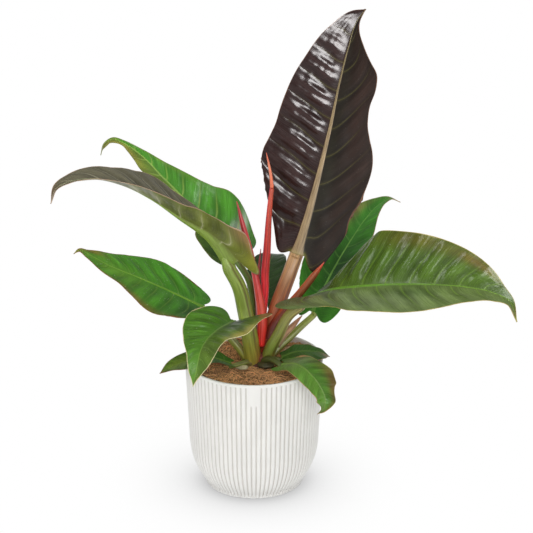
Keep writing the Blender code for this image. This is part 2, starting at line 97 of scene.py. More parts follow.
@dataclass
class Leaf:
    """One leaf: the routes of its stalk and midrib, and its blade's half-widths from stalk to tip.

    Left and right are as seen from above while looking from the stalk to the tip. A slope is the angle
    in degrees by which a half rises from the midrib, at even steps from stalk to tip, and a lobe is how
    far a half reaches back past the stalk's end. Pleats are in millimetres, left and right, and veins
    are how many side veins a half has. A lean is how much further along the blade they end at the
    margin, as a share of its length. Near the stalk a perk lifts a lobe and a horn draws its corner
    back, in millimetres. Zones are patches of colour: place along the blade, place across it from -1
    to 1, reach along, reach across, colour and strength.
    """
    name: str
    stalk: tuple
    stalk_radius: tuple
    midrib: tuple
    left: tuple
    right: tuple
    left_slope: tuple
    right_slope: tuple
    lobes: tuple
    slot: str
    upper: tuple
    under: tuple
    line: tuple
    stalk_colours: tuple
    face: tuple = (0, 0, 1)
    sweep: float = 0.45
    lobe_skew: float = 1.0
    lean: tuple = (0.04, 0.04)
    shine: float = 0.35
    perk: tuple = (0.0, 0.0)
    horns: tuple = (0.0, 0.0)
    dents: float = 0.6
    margin: tuple = (150, 120, 70)
    gloss: tuple = (0.3, 0.3)
    pleats: tuple = (1.2, 1.2)
    veins: tuple = (9, 9)
    vein_strength: float = 0.5
    wave: float = 1.0
    specks: float = 0.2
    rib: float = 0.6
    rows: int = 120
    zones: tuple = ()


LEAVES = (
    Leaf("leaf_top_dark",
         stalk=((8, 6, 122), (14, 6, 152), (24, 5, 190), (36, 3, 226)), stalk_radius=(8.5, 7.0),
         midrib=((43, 4, 246), (57, 9, 296), (67, 15, 336), (76, 20, 375), (84, 26, 415), (93, 34, 451),
                 (101, 42, 475), (110, 50, 486)),
         left=(25, 35, 50, 59, 60, 57, 54, 53, 51, 48, 44, 39, 34, 28, 20, 11, 0),
         right=(33, 41, 41, 47, 51, 52, 49, 43, 38, 37, 40, 38, 28, 18, 9, 3, 0),
         left_slope=(-12, -2, 6), right_slope=(8, 26, 30), lobes=(4, 13),
         face=(0, -1, 0.3), sweep=0.5, slot="blade_dark", rows=190,
         upper=((52, 34, 32), (32, 22, 15)), under=(84, 48, 40), line=((186, 160, 122), (112, 106, 52)),
         stalk_colours=((0, (150, 46, 32)), (0.3, (160, 76, 44)), (0.6, (158, 102, 66)),
                        (0.85, (210, 170, 122)), (1, (222, 192, 146))),
         margin=(120, 82, 58), gloss=(0.24, 0.5), pleats=(4.4, 1.0), veins=(9, 9), vein_strength=0.4,
         wave=2.2, rib=0.62, lean=(-0.02, 0.11), shine=0.26, dents=0.8, specks=0.05,
         zones=((0.5, 0.75, 0.4, 0.3, (58, 38, 31), 0.6), (0.3, 0.15, 0.5, 0.15, (42, 41, 28), 0.6),
                (0.0, 0, 0.012, 0.3, (170, 170, 60), 0.8))),
    Leaf("leaf_right",
         stalk=((12, -2, 124), (15, -6, 142), (25, -11, 166), (37, -14, 189)), stalk_radius=(6.5, 5.0),
         midrib=((46, -16, 204), (72, -28, 219), (103, -42, 229), (138, -54, 236), (172, -64, 240),
                 (206, -70, 240), (232, -74, 236), (248, -77, 229), (257, -79, 207)),
         left=(14, 41, 53, 52, 48, 39, 25, 7, 0), right=(24, 42, 52, 53, 48, 34, 20, 9, 0),
         left_slope=(-25, 55, 76, 70, 50), right_slope=(-8, -8, -8, -10, -10, -11, -12, -12, -12),
         lobes=(0, 20), perk=(0, 9), slot="blade_olive",
         upper=((80, 110, 28), (114, 134, 76)), under=(104, 128, 60),
         line=((112, 164, 48), (140, 182, 58)),
         stalk_colours=((0, (150, 140, 60)), (0.3, (132, 150, 62)), (0.8, (160, 150, 84)), (1, (170, 130, 84))),
         margin=(196, 176, 104), gloss=(0.25, 0.3), pleats=(3.4, 1.8), veins=(10, 10), wave=1.2,
         specks=0.4, rib=0.42, rows=170,
         zones=((0.45, -0.9, 0.16, 0.2, (104, 88, 30), 0.7), (0.72, -0.85, 0.1, 0.14, (140, 112, 50),
                                                              0.7),
                # The zones at 0.5 along, 0.35 across and at 0.35 along, 0.6 across paint a blotchy reflection of the
                # floor on the near half.
                (0.3, -0.5, 0.25, 0.3, (58, 86, 28), 0.5), (0.5, 0.35, 0.1, 0.25, (60, 84, 44), 0.6), (0.05, 0, 0.14, 1.2, (62, 56, 40), 0.6),
                (0.35, 0.6, 0.18, 0.3, (128, 142, 104), 0.5), (0.98, 0, 0.04, 1, (110, 60, 40), 0.8))),
    Leaf("leaf_back_right",
         stalk=((13, 5, 124), (20, 8, 136), (36, 18, 149), (49, 26, 159)), stalk_radius=(4.5, 3.2),
         midrib=((60, 34, 171), (81, 58, 207), (101, 82, 233), (116, 102, 248), (131, 120, 257),
                 (143, 130, 259), (153, 137, 253)),
         left=(20, 36, 32, 28, 20, 10, 0), right=(35, 42, 33, 24, 14, 7, 0),
         left_slope=(8, 12, 10), right_slope=(8, 12, 10), lobes=(8, 8), slot="blade_green",
         upper=((64, 136, 36), (70, 144, 40)), under=(96, 130, 50), line=((120, 172, 76), (112, 170, 76)),
         stalk_colours=((0, (120, 110, 56)), (0.3, (150, 160, 78)), (1, (164, 178, 84))),
         margin=(170, 140, 92), gloss=(0.34, 0.34), pleats=(1.4, 1.4), veins=(8, 8), wave=1.4, rib=0.4,
         # The dark green zone at 0.3 along, over the blade's middle, is painted shade.
         zones=((0.62, -0.8, 0.16, 0.3, (150, 118, 76), 0.8), (0.3, 0.2, 0.22, 0.7, (26, 56, 20), 0.85),
                (0.97, 0, 0.05, 1, (176, 140, 96), 0.8))),
    Leaf("leaf_upper_left",
         stalk=((5, 9, 124), (3, 10, 155), (0, 12, 180), (-5, 17, 212)), stalk_radius=(4.2, 3.2),
         midrib=((-20, 28, 239), (-38, 38, 257), (-58, 48, 273), (-77, 58, 292), (-93, 66, 306),
                 (-114, 76, 325), (-133, 84, 336), (-145, 90, 338), (-154, 92, 331), (-157, 93, 320)),
         left=(26, 25, 22, 14, 8, 7, 8, 10, 12, 12, 12, 9, 6, 3, 6, 5, 0),
         right=(26, 40, 32, 23, 16, 9, 4, 2, 0),
         left_slope=(-20, -36, -36, -30), right_slope=(40, 48, 40), lobes=(8, 8), horns=(0, 12),
         slot="blade_green",
         upper=((96, 128, 42), (76, 146, 38)), under=(92, 126, 42),
         line=((150, 188, 84), (164, 192, 84)),
         stalk_colours=((0, (96, 110, 48)), (1, (110, 136, 60))),
         margin=(130, 130, 66), gloss=(0.34, 0.3), pleats=(0.6, 1.5), veins=(9, 9), vein_strength=0.9,
         wave=0.8, rib=0.5, rows=150,
         zones=((0.96, 0, 0.12, 1.2, (120, 118, 56), 0.8), (0.05, 0.4, 0.08, 0.6, (36, 72, 36), 0.6),
                (0.05, -0.6, 0.1, 0.5, (34, 62, 32), 0.9), (0.55, 0.9, 0.2, 0.12, (120, 150, 60), 0.5),
                # The near-white zone at 0.08 along is a painted highlight.
                (0.08, 0.6, 0.02, 0.4, (206, 222, 200), 0.8), (0.8, -0.8, 0.2, 0.4, (170, 150, 70), 0.6))),
    Leaf("leaf_mid_left",
         stalk=((0, 0, 124), (-4, -7, 160), (-9, -10, 190), (-16, -12, 220)), stalk_radius=(9.0, 6.8),
         midrib=((-20, -12, 243), (-44, -16, 272), (-72, -21, 293), (-101, -27, 316), (-128, -32, 332),
                 (-154, -37, 340), (-176, -41, 339), (-191, -45, 333), (-197, -47, 318)),
         left=(27, 37, 28, 27, 30, 27, 25, 24, 24, 22, 19, 16, 13, 10, 7, 4, 0),
         right=(14, 24, 38, 46, 37, 26, 18, 9, 0),
         left_slope=(50, 55, 47, 38, 30, 22, 15, 7, 0), right_slope=(30, 18, 14, 16, 20), lobes=(22, 8),
         lobe_skew=0.6, horns=(10, 4), slot="blade_dark",
         upper=((90, 90, 66), (100, 96, 74)), under=(96, 104, 32), line=((134, 160, 60), (200, 194, 160)),
         stalk_colours=((0, (176, 152, 62)), (0.12, (166, 158, 62)), (0.4, (138, 156, 62)),
                        (1, (146, 170, 76))),
         margin=(184, 150, 122), gloss=(0.28, 0.22), pleats=(2.0, 2.6), veins=(9, 9), wave=1.0, rib=0.5,
         vein_strength=0.7, lean=(0.02, 0.1), shine=0.6, rows=150,
         zones=((0.04, -0.95, 0.06, 0.25, (176, 116, 84), 0.9), (0.02, -0.6, 0.05, 0.3, (160, 160, 56),
                                                                 0.8),
                (0.6, -0.6, 0.3, 0.4, (120, 114, 96), 0.6), (0.97, 0, 0.05, 1, (110, 80, 54), 0.8))),
    Leaf("leaf_lower_left",
         stalk=((-4, 1, 124), (-10, -2, 138), (-25, 0, 158), (-38, 4, 172)), stalk_radius=(4.5, 3.3),
         midrib=((-50, 6, 187), (-68, 0, 199), (-94, -9, 216), (-118, -18, 231), (-144, -26, 246),
                 (-163, -30, 259), (-172, -32, 264), (-177, -34, 261)),
         left=(16, 36, 43, 40, 31, 20, 14, 7, 0), right=(25, 34, 35, 32, 27, 21, 14, 6, 0),
         left_slope=(-22, -26, -20), right_slope=(30, 28, 20), lobes=(8, 8), slot="blade_green",
         upper=((76, 142, 38), (80, 150, 40)), under=(96, 126, 50), line=((136, 186, 62), (140, 180, 70)),
         stalk_colours=((0, (120, 70, 40)), (0.2, (146, 146, 60)), (1, (140, 160, 66))),
         margin=(150, 104, 62), gloss=(0.34, 0.3), pleats=(1.3, 1.3), veins=(8, 8), wave=1.2, specks=0.8,
         rib=0.5, rows=140,
         zones=((0.85, 0.8, 0.12, 0.3, (140, 100, 60), 0.7), (0.45, -0.95, 0.3, 0.12, (130, 92, 54), 0.7),
                (0.97, 0, 0.05, 1, (150, 104, 64), 0.8), (0.1, -0.5, 0.1, 0.4, (28, 64, 26), 0.6),
                (0.72, -0.2, 0.25, 0.6, (116, 168, 50), 0.7))),
    Leaf("leaf_front_left",
         stalk=((-2, 3, 124), (-7, -2, 152), (-13, -11, 173)), stalk_radius=(3.8, 3.0),
         midrib=((-20, -25, 185), (-36, -55, 188), (-47, -76, 185), (-52, -92, 180), (-55, -102, 168),
                 (-59, -108, 151)),
         left=(51, 52, 45, 30, 18, 8, 0), right=(30, 34, 30, 21, 13, 8, 0),
         left_slope=(22, 18, 24, 10, 5), right_slope=(26, 12, 6, 10), lobes=(6, 8),
         slot="blade_green",
         upper=((86, 112, 38), (84, 134, 38)), under=(132, 158, 72), line=((118, 156, 60), (126, 164, 64)),
         stalk_colours=((0, (110, 110, 50)), (1, (120, 140, 66))),
         margin=(226, 214, 160), gloss=(0.32, 0.32), pleats=(1.6, 2.4), veins=(8, 8), wave=1.4,
         specks=0.5, rib=0.4, rows=150,
         zones=((0.12, -0.3, 0.16, 0.3, (40, 62, 34), 0.8), (0.3, -0.92, 0.16, 0.16, (186, 170, 76), 0.8),
                (0.0, -0.8, 0.05, 0.3, (104, 128, 66), 0.7), (0.85, 0, 0.1, 0.6, (96, 142, 50), 0.6))),
    Leaf("leaf_low_left",
         stalk=((-2, -4, 127), (-5, -8, 133.4), (-13, -14, 134)), stalk_radius=(3.0, 2.2),
         midrib=((-23, -20, 137), (-42, -24, 145), (-62, -30, 146), (-79, -36, 142), (-94, -42, 136)),
         left=(8, 15, 23, 21, 15, 7, 0), right=(8, 12, 12, 12, 11, 7, 0),
         left_slope=(0, 0, 0), right_slope=(20, 20, 10), lobes=(4, 4), slot="blade_green",
         upper=((60, 104, 34), (62, 108, 34)), under=(96, 118, 50), line=((120, 156, 60), (130, 156, 60)),
         stalk_colours=((0, (120, 120, 60)), (1, (130, 150, 70))),
         margin=(136, 84, 54), sweep=0.4, pleats=(0.9, 0.9), veins=(7, 7), rib=0.5, rows=90,
         zones=((0.72, 0, 0.3, 1, (130, 150, 52), 0.8), (0.98, 0, 0.04, 1, (120, 66, 40), 0.8))),
    Leaf("leaf_front_right",
         stalk=((8, -4, 128), (12, -11, 137), (22, -24, 141)), stalk_radius=(4.0, 3.0),
         midrib=((29, -30, 141), (43, -46, 148), (55, -60, 145), (65, -68, 135), (71, -73, 121),
                 (68, -76, 110), (63, -78, 108)),
         left=(15, 18, 21, 26, 20, 8, 0), right=(13, 13, 14, 14, 12, 8, 0),
         left_slope=(10, 0, 0), right_slope=(-20, -20, 0), lobes=(12, 10), slot="blade_green",
         upper=((88, 138, 46), (98, 144, 52)), under=(110, 122, 56),
         line=((120, 150, 70), (120, 146, 66)),
         stalk_colours=((0, (80, 84, 36)), (1, (92, 104, 48))),
         margin=(186, 150, 104), sweep=0.3, pleats=(1.1, 1.1), veins=(8, 8), rib=0.5, rows=110,
         zones=((0.14, -0.3, 0.16, 1, (140, 154, 112), 0.7), (0.6, -0.85, 0.3, 0.3, (124, 80, 44), 0.8),
                (0.95, 0, 0.06, 1, (104, 84, 50), 0.6))),
    Leaf("leaf_low_right",
         stalk=((16, 0, 127), (20, -4, 134.5)), stalk_radius=(3.0, 2.2),
         midrib=((28, -5, 138), (42, -2, 142), (58, 2, 141), (69, 5, 138), (77, 7, 133)),
         left=(7, 9, 10, 10, 8, 5, 0), right=(8, 13, 16, 17, 15, 8, 0),
         left_slope=(20, 20, 20), right_slope=(-10, -10, 0), lobes=(1, 3), slot="blade_green",
         upper=((58, 98, 34), (64, 102, 36)), under=(90, 110, 50), line=((106, 136, 60), (106, 136, 60)),
         stalk_colours=((0, (96, 100, 48)), (1, (110, 120, 56))),
         margin=(160, 132, 96), sweep=0.4, pleats=(0.8, 0.8), veins=(7, 7), rib=0.5, rows=80,
         zones=((0.9, 0.5, 0.12, 0.6, (170, 110, 84), 0.6),)),
    Leaf("leaf_back",
         stalk=((8, 13, 124), (8, 18, 152), (9, 22, 172)), stalk_radius=(3.5, 2.8),
         midrib=((9, 25, 183), (11, 45, 195), (14, 65, 205), (18, 85, 210), (22, 105, 207),
                 (26, 122, 197)),
         left=(12, 20, 20, 17, 12, 6, 0), right=(12, 20, 20, 17, 12, 6, 0),
         left_slope=(10, 8, 0), right_slope=(10, 8, 0), lobes=(8, 8), slot="blade_green",
         upper=((44, 70, 28), (48, 74, 30)), under=(58, 72, 36), line=((90, 114, 54), (90, 120, 54)),
         stalk_colours=((0, (84, 86, 42)), (1, (90, 104, 50))),
         margin=(100, 90, 60), rows=90, rib=0.4),
)


@dataclass
class Roll:
    """A rolled sheath or new leaf: a route, its radii, and its colours from foot to tip.

    Side colour is what the half that looks to -X blends to, and lap is where the rolled edge lies, in
    degrees round the roll from +X toward the front.
    """
    name: str
    slot: str
    route: tuple
    radii: tuple
    colours: tuple
    side_colour: tuple
    lap: float = 60.0
    roughness: float = 0.36


ROLLS = (
    Roll("sheath_left", "sheath_red",
         route=((7, -3, 150), (8, -3, 180), (4, -3, 210), (1, -2, 226), (-4, 0, 252), (-9, 2, 270),
                (-17, 6, 301)),
         radii=(4.2, 5.5, 4.5, 3.3, 3.0, 2.7, 0.4),
         colours=((0, (255, 52, 50)), (0.25, (214, 76, 58)), (0.5, (220, 74, 78)), (1, (206, 60, 62))),
         side_colour=(240, 134, 138), lap=100),
    Roll("sheath_centre", "sheath_red",
         route=((9, 7, 150), (9, 8, 180), (11, 7, 210), (11, 5, 223), (13, 3, 250), (15, 1, 286),
                (17, 0, 309), (18, 0, 317)),
         radii=(4.0, 4.0, 4.2, 4.2, 4.0, 3.4, 2.8, 2.2),
         colours=((0, (255, 48, 66)), (0.4, (236, 62, 68)), (0.75, (206, 72, 60)), (1, (212, 92, 66))),
         side_colour=(240, 52, 108), lap=80),
    Roll("sheath_small", "sheath_red",
         route=((3, 5, 178), (4, 4, 209), (5, 4, 230), (7, 2, 252)),
         radii=(1.6, 1.9, 1.5, 0.4),
         colours=((0, (150, 46, 52)), (1, (176, 70, 70))), side_colour=(190, 90, 90)),
    Roll("sheath_right", "sheath_brown",
         route=((17, -5, 158), (21, -5, 172), (28, -6, 184), (37, -8, 197), (48, -10, 212),
                (59, -12, 228), (70, -14, 244)),
         radii=(5.5, 5.5, 4.8, 4.0, 3.6, 3.0, 0.4),
         colours=((0, (104, 36, 28)), (0.35, (118, 48, 32)), (0.6, (140, 76, 44)), (0.85, (158, 84, 50)),
                  (1, (232, 76, 48))),
         side_colour=(196, 92, 54), lap=40),
    Roll("sheath_dry", "sheath_dry",
         route=((24, 5, 145), (31, 12, 155), (40, 18, 163), (49, 24, 171)),
         radii=(2.6, 3.4, 2.8, 0.4),
         colours=((0, (150, 120, 70)), (0.5, (194, 150, 112)), (1, (180, 110, 80))),
         side_colour=(212, 176, 140), roughness=0.6),
    Roll("new_leaf_roll", "new_leaf_orange",
         route=((18, 0, 318), (17, 0, 330), (15, 0, 342), (12.5, 0, 354)),
         radii=(1.9, 1.6, 1.1, 0.4),
         colours=((0, (250, 128, 92)), (0.6, (255, 150, 114)), (1, (222, 96, 70))),
         side_colour=(255, 180, 150), lap=90),
)


class PotLook(bpy.types.PropertyGroup):
    """Sizes and finish of the pot."""
    height: FloatProperty(name="Height", description="Height of the pot", default=0.1348, unit="LENGTH")
    rim_radius: FloatProperty(name="Rim radius", description="Outer radius at the rim", default=0.07,
                              unit="LENGTH")
    rib_count: IntProperty(name="Ribs", description="Number of ribs round the pot", default=84, min=12)
    groove_depth: FloatProperty(name="Groove depth", description="Depth of the grooves", default=0.0009,
                                unit="LENGTH")
    colour: FloatVectorProperty(name="Colour", description="Colour of the pot", subtype="COLOR", size=3,
                                default=linear(240, 239, 235), min=0, max=1)
    roughness: FloatProperty(name="Roughness", description="Roughness of the pot", default=0.42, min=0,
                             max=1, subtype="FACTOR")


class CoirLook(bpy.types.PropertyGroup):
    """Sizes and colours of the coir."""
    level: FloatProperty(name="Level", description="Height of the coir's top", default=0.1292,
                         unit="LENGTH")
    fibre_count: IntProperty(name="Fibres", description="Number of loose fibres", default=2600, min=100)
    dark: FloatVectorProperty(name="Dark colour", description="Colour of the hollows", subtype="COLOR",
                              size=3, default=linear(84, 48, 26), min=0, max=1)
    light: FloatVectorProperty(name="Light colour", description="Colour of the fibres", subtype="COLOR",
                               size=3, default=linear(255, 196, 136), min=0, max=1)


class BladeLook(bpy.types.PropertyGroup):
    """Sizes shared by the blades."""
    thickness: FloatProperty(name="Thickness", description="Thickness of a blade", default=0.0008,
                             unit="LENGTH")
    pleat_scale: FloatProperty(name="Pleat scale", description="Depth of the pleats, as a share",
                               default=1.0, min=0, max=3)
    roughness_scale: FloatProperty(name="Roughness scale", description="Roughness, as a share",
                                   default=1.0, min=0.2, max=2)


class StalkLook(bpy.types.PropertyGroup):
    """Finish of the stalks and sheaths."""
    roughness: FloatProperty(name="Roughness", description="Roughness of a stalk", default=0.4, min=0,
                             max=1, subtype="FACTOR")
    fibre_strength: FloatProperty(name="Fibre strength", description="How strongly the fibres show",
                                  default=0.2, min=0, max=1, subtype="FACTOR")


class StageLook(bpy.types.PropertyGroup):
    """Floor, light and camera."""
    floor_size: FloatProperty(name="Floor size", description="Side of the floor", default=14.0,
                              unit="LENGTH")
    floor_glow: FloatProperty(name="Floor glow", description="How bright the lit paper of the floor is",
                              default=1.0, min=0)
    sky: FloatProperty(name="Room light", description="Strength of the light from all round",
                       default=0.32, min=0)
    key: FloatProperty(name="Key light", description="Power of the soft light at the front left",
                       default=9.0, min=0, unit="POWER")
    fill: FloatProperty(name="Front light", description="Power of the soft light beside the camera",
                        default=11.0, min=0, unit="POWER")
    gloss: FloatProperty(name="Gloss lights", description="Power of the two lights seen in glossy skin only",
                         default=28.0, min=0, unit="POWER")
    top: FloatProperty(name="Top light", description="Power of the large light overhead",
                       default=13.0, min=0, unit="POWER")
    elevation: FloatProperty(name="Camera tilt", description="Angle by which the camera looks down",
                             default=math.radians(21.43), subtype="ANGLE")
    camera: FloatVectorProperty(name="Camera place", description="Where the camera stands",
                                default=(0.0127, -2.3272, 1.1474), size=3, subtype="TRANSLATION")
    lens: FloatProperty(name="Lens", description="Focal length in millimetres", default=168.8)


def hermite(stations, values, places):
    """A smooth curve through the values at the stations, read at the places.

    Between two stations it is the cubic that has their values and their mean slopes.
    """
    slope = np.gradient(values, stations, axis=0)
    k = np.clip(np.searchsorted(stations, places, side="right") - 1, 0, len(stations) - 2)
    step = (stations[k + 1] - stations[k])[:, None]
    u = (places - stations[k])[:, None] / step
    return (values[k] * (1 + 2 * u) * (1 - u) ** 2 + slope[k] * step * u * (1 - u) ** 2
            + values[k + 1] * u ** 2 * (3 - 2 * u) + slope[k + 1] * step * u ** 2 * (u - 1))


def along(values, t):
    """A value given at even steps from 0 to 1, read smoothly at t."""
    values = np.asarray(values, float)
    return hermite(np.linspace(0, 1, len(values)), values[:, None], t)[:, 0]


def smooth_route(points, t):
    """Points at the fractions t of the length of a smooth curve through the given points."""
    points = np.asarray(points, float)
    chord = np.concatenate([[0], np.cumsum(np.linalg.norm(np.diff(points, axis=0), axis=1))])
    fine = hermite(chord, points, np.linspace(0, chord[-1], 400))
    length = np.concatenate([[0], np.cumsum(np.linalg.norm(np.diff(fine, axis=0), axis=1))])
    return np.stack([np.interp(t * length[-1], length, fine[:, axis]) for axis in range(3)], 1)


def unit(vectors):
    """The vectors at length one."""
    return vectors / np.linalg.norm(vectors, axis=-1, keepdims=True)


def rise(values, low, high):
    """A smooth step of the values, from 0 at low to 1 at high."""
    u = np.clip((values - low) / (high - low), 0, 1)
    return u * u * (3 - 2 * u)


def ripple(points, size, seed):
    """Smooth unevenness from -1 to 1 over points: a mean of nine sines of seeded directions."""
    draw = np.random.default_rng(seed)
    directions = unit(draw.normal(size=(9, points.shape[-1]))) / (size * draw.uniform(0.6, 1.6, 9))[:, None]
    angles = 2 * math.pi * (points @ directions.T + draw.uniform(0, 1, 9))
    return np.sin(angles).sum(-1) / 4


def gradient(stops, t):
    """Linear colours at t between stops of (place, screen colour)."""
    places = [place for place, _ in stops]
    colours = np.array([linear(*colour) for _, colour in stops])
    return np.stack([np.interp(t, places, colours[:, channel]) for channel in range(3)], -1)


def midrib_frame(leaf, t):
    """Points on the midrib with the directions along it, across it to the right, and out of the face."""
    step = 0.002
    mid = smooth_route(leaf.midrib, t)
    forward = unit(smooth_route(leaf.midrib, np.minimum(t + step, 1))
                   - smooth_route(leaf.midrib, np.maximum(t - step, 0)))
    across = unit(np.cross(forward, np.asarray(leaf.face, float)))
    return mid, forward, across, np.cross(across, forward)


def half_width(values, t):
    """A half's width along the blade."""
    return np.maximum(along(values, t), TIP_HALF_WIDTH)


def collar_place(leaf, widths, t):
    """The place, from midrib at 0 to margin at 1, up to which a half lies in front of the stalk."""
    return np.minimum((leaf.stalk_radius[1] + COLLAR) / half_width(widths, t), COLLAR_LIMIT)


def blade_face(leaf, t, s):
    """Points of the blade's upper face.

    t has one value for each row, from the stalk at 0 to the tip at 1. s has a value for each row and
    column, from the left margin at -1 over the midrib at 0 to the right margin at 1. A point stands
    off the midrib by its half-width times s along the half's slope, and is moved forward with
    s ** SIDE_CURVE, as side veins run. Near the stalk the points beside it are moved back by an arch of
    a sine, which makes the lobes, and those next to the margin forward by a quarter circle, which
    rounds the corners.
    """
    mid, forward, across, out = (part[:, None, :] for part in midrib_frame(leaf, t))
    right = s > 0
    width = np.where(right, half_width(leaf.right, t)[:, None], half_width(leaf.left, t)[:, None])
    slope = np.radians(np.where(right, along(leaf.right_slope, t)[:, None],
                                along(leaf.left_slope, t)[:, None]))[..., None]
    lobe = np.where(right, leaf.lobes[1], leaf.lobes[0])
    near = np.clip(1 - t / LOBE_REACH, 0, 1)[:, None] ** 2
    sweep = leaf.sweep * np.clip(2 * t / LOBE_REACH, 0, 1)[:, None]
    q = np.abs(s)
    sideways = np.where(right, 1, -1)[..., None] * across
    reach = (width * q)[..., None] * (np.cos(slope) * sideways + np.sin(slope) * out)
    collars = [collar_place(leaf, widths, t)[:, None] for widths in (leaf.left, leaf.right)]
    collar = np.where(right, collars[1], collars[0])
    beside = np.clip((q - collar) / (1 - collar), 0, 1) ** leaf.lobe_skew
    corner = np.clip((q - CORNER) / (1 - CORNER), 0, 1)
    length = np.linalg.norm(np.diff(leaf.midrib, axis=0), axis=1).sum()
    rounding = np.minimum((1 - CORNER) * width, CORNER_LIMIT * length) * (1 - np.sqrt(1 - corner ** 2))
    shift = sweep * width * q ** SIDE_CURVE + near * (rounding - lobe * np.sin(math.pi * beside))
    return mid + reach + shift[..., None] * forward


def grid_normals(points):
    """Unit normals of a grid of points, out of the face."""
    return unit(np.cross(np.gradient(points, axis=1), np.gradient(points, axis=0)))


def sheet_faces(rows, columns):
    """Faces of the closed body between two grids of points, with a band round their edge."""
    index = np.arange(rows * columns).reshape(rows, columns)
    upper = np.stack([index[:-1, :-1], index[:-1, 1:], index[1:, 1:], index[1:, :-1]], -1).reshape(-1, 4)
    lower = upper[:, ::-1] + rows * columns
    edge = np.concatenate([index[0, :-1], index[:-1, -1], index[-1, :0:-1], index[:0:-1, 0]])
    after = np.roll(edge, -1)
    rim = np.stack([edge, edge + rows * columns, after + rows * columns, after], -1)
    return np.concatenate([upper, lower, rim])


def ring_faces(rows, sides):
    """Faces between the rings of points of a tube, each ring going round its axis."""
    index = np.arange(rows * sides).reshape(rows, sides)
    after = np.roll(index, -1, axis=1)
    return np.stack([index[:-1], after[:-1], after[1:], index[1:]], -1).reshape(-1, 4)


def cap_faces(ring, pole, flip):
    """Triangles from a ring of points to a pole."""
    after = np.roll(ring, -1)
    caps = np.stack([after, ring, np.full_like(ring, pole)], -1)
    return caps[:, ::-1] if flip else caps


def add_piece(name, vertices, quads, values, material, replaced=(), triangles=None):
    """A smooth piece that rides on the plant, from vertices in millimetres.

    Values are named arrays with one entry for each vertex: one number, or three for a colour or,
    under the name grain, for a place in the material's own space.
    """
    mesh = bpy.data.meshes.new(name)
    mesh.vertices.add(len(vertices))
    mesh.vertices.foreach_set("co", (vertices * MM).astype(np.float32).ravel())
    corners = [quads.ravel()]
    starts = [np.arange(len(quads)) * 4]
    if triangles is not None:
        corners.append(triangles.ravel())
        starts.append(quads.size + np.arange(len(triangles)) * 3)
    corners, starts = np.concatenate(corners), np.concatenate(starts)
    mesh.loops.add(len(corners))
    mesh.loops.foreach_set("vertex_index", corners.astype(np.int32))
    mesh.polygons.add(len(starts))
    mesh.polygons.foreach_set("loop_start", starts.astype(np.int32))
    mesh.update(calc_edges=True)
    for key, entries in values.items():
        entries = np.asarray(entries, np.float32)
        if entries.ndim == 1:
            mesh.attributes.new(key, "FLOAT", "POINT").data.foreach_set("value", entries)
        elif key == "grain":
            mesh.attributes.new(key, "FLOAT_VECTOR", "POINT").data.foreach_set("vector", entries.ravel())
        else:
            opaque = np.concatenate([entries, np.ones((len(entries), 1), np.float32)], 1)
            mesh.attributes.new(key, "FLOAT_COLOR", "POINT").data.foreach_set("color", opaque.ravel())
    mesh.shade_smooth()
    mesh.materials.append(material)
    piece = bpy.data.objects.new(name, mesh)
    bpy.context.scene.collection.objects.link(piece)
    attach(piece, "root")
    if replaced:
        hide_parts(*replaced)
    return piece


class Nodes:
    """Builds the nodes of one material around its Principled shader."""

    def __init__(self, name):
        self.material = bpy.data.materials.new(name)
        self.material.use_nodes = True
        self.tree = self.material.node_tree
        self.shader = self.tree.nodes["Principled BSDF"]

    def put(self, socket, value):
        """Link a socket to an output, or set it to a number or colour."""
        if isinstance(value, bpy.types.NodeSocket):
            self.tree.links.new(value, socket)
        else:
            socket.default_value = value

    def finish(self, **inputs):
        """Fill the shader's sockets by name and return the material."""
        for name, value in inputs.items():
            self.put(self.shader.inputs[name.replace("_", " ")], value)
        return self.material

    def attribute(self, name, output="Fac"):
        """One of the mesh's own values."""
        node = self.tree.nodes.new("ShaderNodeAttribute")
        node.attribute_name = name
        return node.outputs[output]

    def place(self):
        """The point's place on the object, in metres."""
        return self.tree.nodes.new("ShaderNodeTexCoord").outputs["Object"]

    def stretch(self, vector, factors):
        """The vector times the factors."""
        node = self.tree.nodes.new("ShaderNodeVectorMath")
        node.operation = "MULTIPLY"
        self.put(node.inputs[0], vector)
        node.inputs[1].default_value = factors
        return node.outputs[0]

    def noise(self, vector, scale, detail=3.0, distortion=0.0):
        """Soft noise from 0 to 1."""
        node = self.tree.nodes.new("ShaderNodeTexNoise")
        self.put(node.inputs["Vector"], vector)
        node.inputs["Scale"].default_value = scale
        node.inputs["Detail"].default_value = detail
        node.inputs["Distortion"].default_value = distortion
        return node.outputs["Fac"]

    def math(self, operation, first, second=0.0):
        """One step of arithmetic."""
        node = self.tree.nodes.new("ShaderNodeMath")
        node.operation = operation
        self.put(node.inputs[0], first)
        self.put(node.inputs[1], second)
        return node.outputs[0]

    def rise(self, value, low, high, start=0.0, end=1.0):
        """A smooth step of the value, from start at low to end at high."""
        node = self.tree.nodes.new("ShaderNodeMapRange")
        node.interpolation_type = "SMOOTHSTEP"
        self.put(node.inputs["Value"], value)
        for name, number in (("From Min", low), ("From Max", high), ("To Min", start), ("To Max", end)):
            self.put(node.inputs[name], number)
        return node.outputs["Result"]

    def mix(self, factor, first, second, mode="MIX"):
        """Two colours mixed by a factor."""
        node = self.tree.nodes.new("ShaderNodeMix")
        node.data_type = "RGBA"
        node.blend_type = mode
        self.put(node.inputs["Factor"], factor)
        for socket, colour in zip(node.inputs[6:8], (first, second)):
            self.put(socket, colour if isinstance(colour, bpy.types.NodeSocket) else (*colour, 1))
        return node.outputs[2]

    def bump(self, height, distance, strength=1.0):
        """A bumped normal from a height from 0 to 1 and its size in metres."""
        node = self.tree.nodes.new("ShaderNodeBump")
        self.put(node.inputs["Height"], height)
        node.inputs["Distance"].default_value = distance
        node.inputs["Strength"].default_value = strength
        return node.outputs["Normal"]


